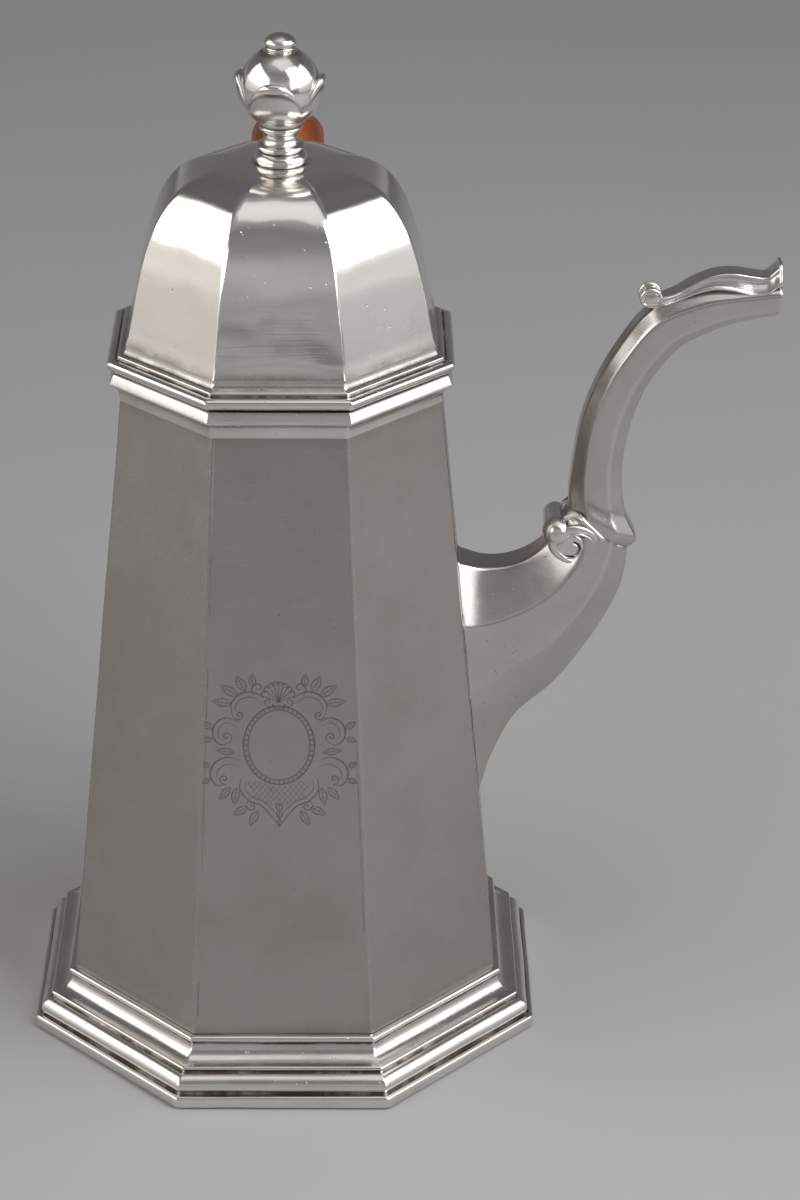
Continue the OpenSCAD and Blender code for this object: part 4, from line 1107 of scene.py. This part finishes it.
# stations of the handle: distance out, height, half width, half depth
WOOD = [[*(UP_END + UP_DIR * SEAT), WOOD_UP, WOOD_UP * 0.98], [*(UP_END + UP_DIR * 5), 8.73, 7.4],
        [UP_END[0] + 11.5, TOP_Z - 11.5, 9.5, 7.4], [UP_END[0] + 25, TOP_Z, 9.7, 7.4],
        [REACH - 8, TOP_Z - 11, 9.7, 7.18], [REACH, TOP_Z - 33, 9.02, 7.03],
        [REACH - 1, TOP_Z - 58, 8.24, 6.88], [REACH - 10, TOP_Z - 83, 7.57, 6.81],
        [REACH - 20, TOP_Z - 106, 6.98, 6.66], [LOW_END[0] + 13.5, LOW_END[1] + 13.5, 6.6, 6.47],
        [*(LOW_END + LOW_DIR * 4.5), WOOD_LOW * 0.98, WOOD_LOW * 0.98],
        [*(LOW_END + LOW_DIR * SEAT), WOOD_LOW, WOOD_LOW]]


def handle():
    last, count, sides = len(WOOD) - 1, 170, 56
    us = np.linspace(0, last, count)
    out, height, wide, deep = resample(WOOD, count).T
    # its direction, blended into those of the two sockets
    d = unit(np.gradient(places(out, height), axis=0))
    w = smoothstep(us, 0.6, 2.0)[:, None]
    d = d * w + UP_DIR * (1 - w)
    w = smoothstep(us, last - 0.6, last - 2.0)[:, None]
    d = unit(d * w - LOW_DIR * (1 - w))
    # a section a little squarer than an oval
    a = full_turn(sides)
    cx, cy = (np.sign(c) * np.abs(c) ** (2 / 2.25) for c in (np.cos(a), np.sin(a)))
    along = travelled(places(out, height))
    left = along[-1] - along
    # turned beads beside the sockets
    bead = (0.55 * bell(along, 3.2, 0.9) - 0.5 * bell(along, 5.2, 0.7)
            + 0.45 * bell(left, 3.0, 0.8) - 0.45 * bell(left, 4.8, 0.6))
    end = smoothstep(along, 0, 1.2) * smoothstep(left, 0, 1.2)
    sx = (wide + bead * end)[:, None] * cx
    sy = (deep + bead * end)[:, None] * cy
    p = places(sx, out[:, None] - d[:, 1:] * sy, height[:, None] + d[:, :1] * sy)
    p = p + grid_normals(p) * ((wave(p, 24, 51) * 0.12 + 0.25) * end[:, None])[..., None]
    s = Shape()
    s.grid(p, -np.gradient(np.gradient(bead))[:, None] * 6, flip=True)
    # where each point lies in the wood: across, deep and along the grain
    wood = [places(sx, sy, along[:, None])]
    for ring, start, direction, r, shoulder, place in (
            (p[0], UP_END, UP_DIR, TENON_UP, WOOD_UP, 0.0),
            (p[-1], LOW_END, LOW_DIR, TENON_LOW, WOOD_LOW, along[-1])):
        back = np.array([0, *direction])
        mid = np.array([0, *start]) + back * SEAT
        inner = mid + (ring - mid) * (r / shoulder)
        tip = mid - back * TENON_LONG + (ring - mid) * 0.01
        q = np.stack([ring, inner, inner - back * TENON_LONG, tip])
        s.grid(q, -0.4, flip=place > 0)
        wood.append(places(q[..., 0], q[..., 2] - start[1], place))
    x, y, z = np.concatenate([w.reshape(-1, 3) for w in wood]).T
    s.piece("handle_carved", "pot", FRUITWOOD, ["handle"], "fruitwood", wood_x=x, wood_y=y,
            wood_s=z)


handle()


# ---- camera, floor and light
# fitted to the photograph: place in mm, turn in degrees, focal length in pixels
CAMERA_PLACE = (16.594, -769.520, 486.928)
CAMERA_TURN = (0.918, 26.140, 0.526)
FOCAL, PICTURE_H, SENSOR = 3432.97, 1200, 24.0
FLOOR_R, FLOOR_SIDES = 9, 96


def camera():
    """The photograph's view: an 800 by 1200 frame seen from above and in front."""
    yaw, pitch, roll = (math.radians(v) for v in CAMERA_TURN)
    ahead = Vector((math.sin(yaw) * math.cos(pitch), math.cos(yaw) * math.cos(pitch),
                    -math.sin(pitch)))
    across = Vector((math.cos(yaw), -math.sin(yaw), 0))
    above = across.cross(ahead)
    right = across * math.cos(roll) + above * math.sin(roll)
    up = above * math.cos(roll) - across * math.sin(roll)
    data = bpy.data.cameras.new("camera")
    data.sensor_fit = "VERTICAL"
    data.sensor_width = data.sensor_height = SENSOR
    data.lens = FOCAL / PICTURE_H * SENSOR
    data.clip_start, data.clip_end = 0.01, 50
    cam = bpy.data.objects.new("camera", data)
    turn = Matrix((right, up, -ahead)).transposed().to_4x4()
    cam.matrix_world = Matrix.Translation(Vector(CAMERA_PLACE) * MM) @ turn
    bpy.context.scene.collection.objects.link(cam)
    bpy.context.scene.camera = cam


def floor():
    n = Nodes(bpy.data.materials.new("pale_floor"))
    patches = n.spread(n.noise(2.2, 2.0), 0.3, 0.7)
    tone = n.mix(patches, (0.425, 0.423, 0.428), (0.445, 0.443, 0.448))
    mesh = bpy.data.meshes.new("floor")
    mesh.from_pydata([(FLOOR_R * math.cos(t), FLOOR_R * math.sin(t), 0)
                      for t in full_turn(FLOOR_SIDES)], [], [list(range(FLOOR_SIDES))])
    mesh.materials.append(n.surface({"Base Color": tone, "Roughness": 0.7,
                                     "Specular IOR Level": 0.25}))
    obj = bpy.data.objects.new("floor", mesh)
    bpy.context.scene.collection.objects.link(obj)


def sky(n, split, stops):
    """Brightness by height: stops of (sine of the elevation, level)."""
    ramp = n.new("ShaderNodeValToRGB", {0: split.outputs["Z"]})
    el = ramp.color_ramp.elements
    for e, (at, level) in zip(el, (stops[0], stops[-1])):
        e.position, e.color = at, (level, level, level, 1)
    for at, level in stops[1:-1]:
        el.new(at).color = (level, level, level, 1)
    return ramp.outputs["Color"]


# lights that shine like soft boxes: name, place, what they face, width, height, radiance, colour
SOFT_BOXES = (
    ("left_wall", (-1.126, -0.62, 0.885), (0, -0.62, 0.885), 2.1, 0.98, 1.7, (1.0, 0.975, 0.945)),
    ("right_wall", (1.126, -0.74, 0.87), (0, -0.74, 0.87), 2.2, 1.0, 1.85, (0.975, 0.985, 1.0)),
    ("left_low", (-1.15, -0.25, 0.24), (0, -0.25, 0.24), 1.7, 0.46, 0.55, (1.0, 0.94, 0.87)),
    ("right_low", (1.3, -0.2, 0.26), (0, -0.2, 0.26), 1.5, 0.48, 0.42, (1, 1, 1)),
    ("overhead", (0.25, -0.25, 2.2), (0.1, -0.1, 0), 1.5, 1.5, 0.38, (1, 1, 1)),
    ("key", (0.50, -0.36, 0.80), (0.24, -0.10, 0), 0.42, 0.42, 6.0, (1, 1, 1)))


def studio():
    """A soft pale room: a bright wall and a dim low strip at the left and right of the pot, a
    ceiling light and a small strong key, under a sky that is darker behind the pot."""
    world = bpy.data.worlds.new("studio")
    bpy.context.scene.world = world
    n = Nodes(world)
    split = n.new("ShaderNodeSeparateXYZ", {0: n.coord["Generated"]})
    front = sky(n, split, ((0.0, 0.42), (0.06, 0.30), (0.22, 0.46), (0.34, 0.42), (0.5, 0.26),
                           (0.75, 0.20), (1.0, 0.50)))
    rear = sky(n, split, ((0.0, 0.30), (0.15, 0.16), (0.70, 0.12), (0.90, 0.20), (1.0, 0.45)))
    behind = n.spread(split.outputs["Y"], -0.35, 0.30, interpolation_type="SMOOTHSTEP")
    back = n.tree.nodes["Background"].inputs
    n.put(back["Color"], n.mix(behind, front, rear))
    n.put(back["Strength"], 1.0)
    for name, place, target, width, height, radiance, colour in SOFT_BOXES:
        data = bpy.data.lights.new(name, "AREA")
        data.shape = "RECTANGLE"
        data.size, data.size_y = width, height
        data.energy = radiance * math.pi * width * height
        data.color = colour
        obj = bpy.data.objects.new(name, data)
        turn = (Vector(target) - Vector(place)).to_track_quat("-Z", "Y")
        obj.matrix_world = Matrix.Translation(place) @ turn.to_matrix().to_4x4()
        obj.visible_camera = False
        bpy.context.scene.collection.objects.link(obj)


camera()
floor()
studio()
bpy.context.scene.view_settings.view_transform = "Standard"
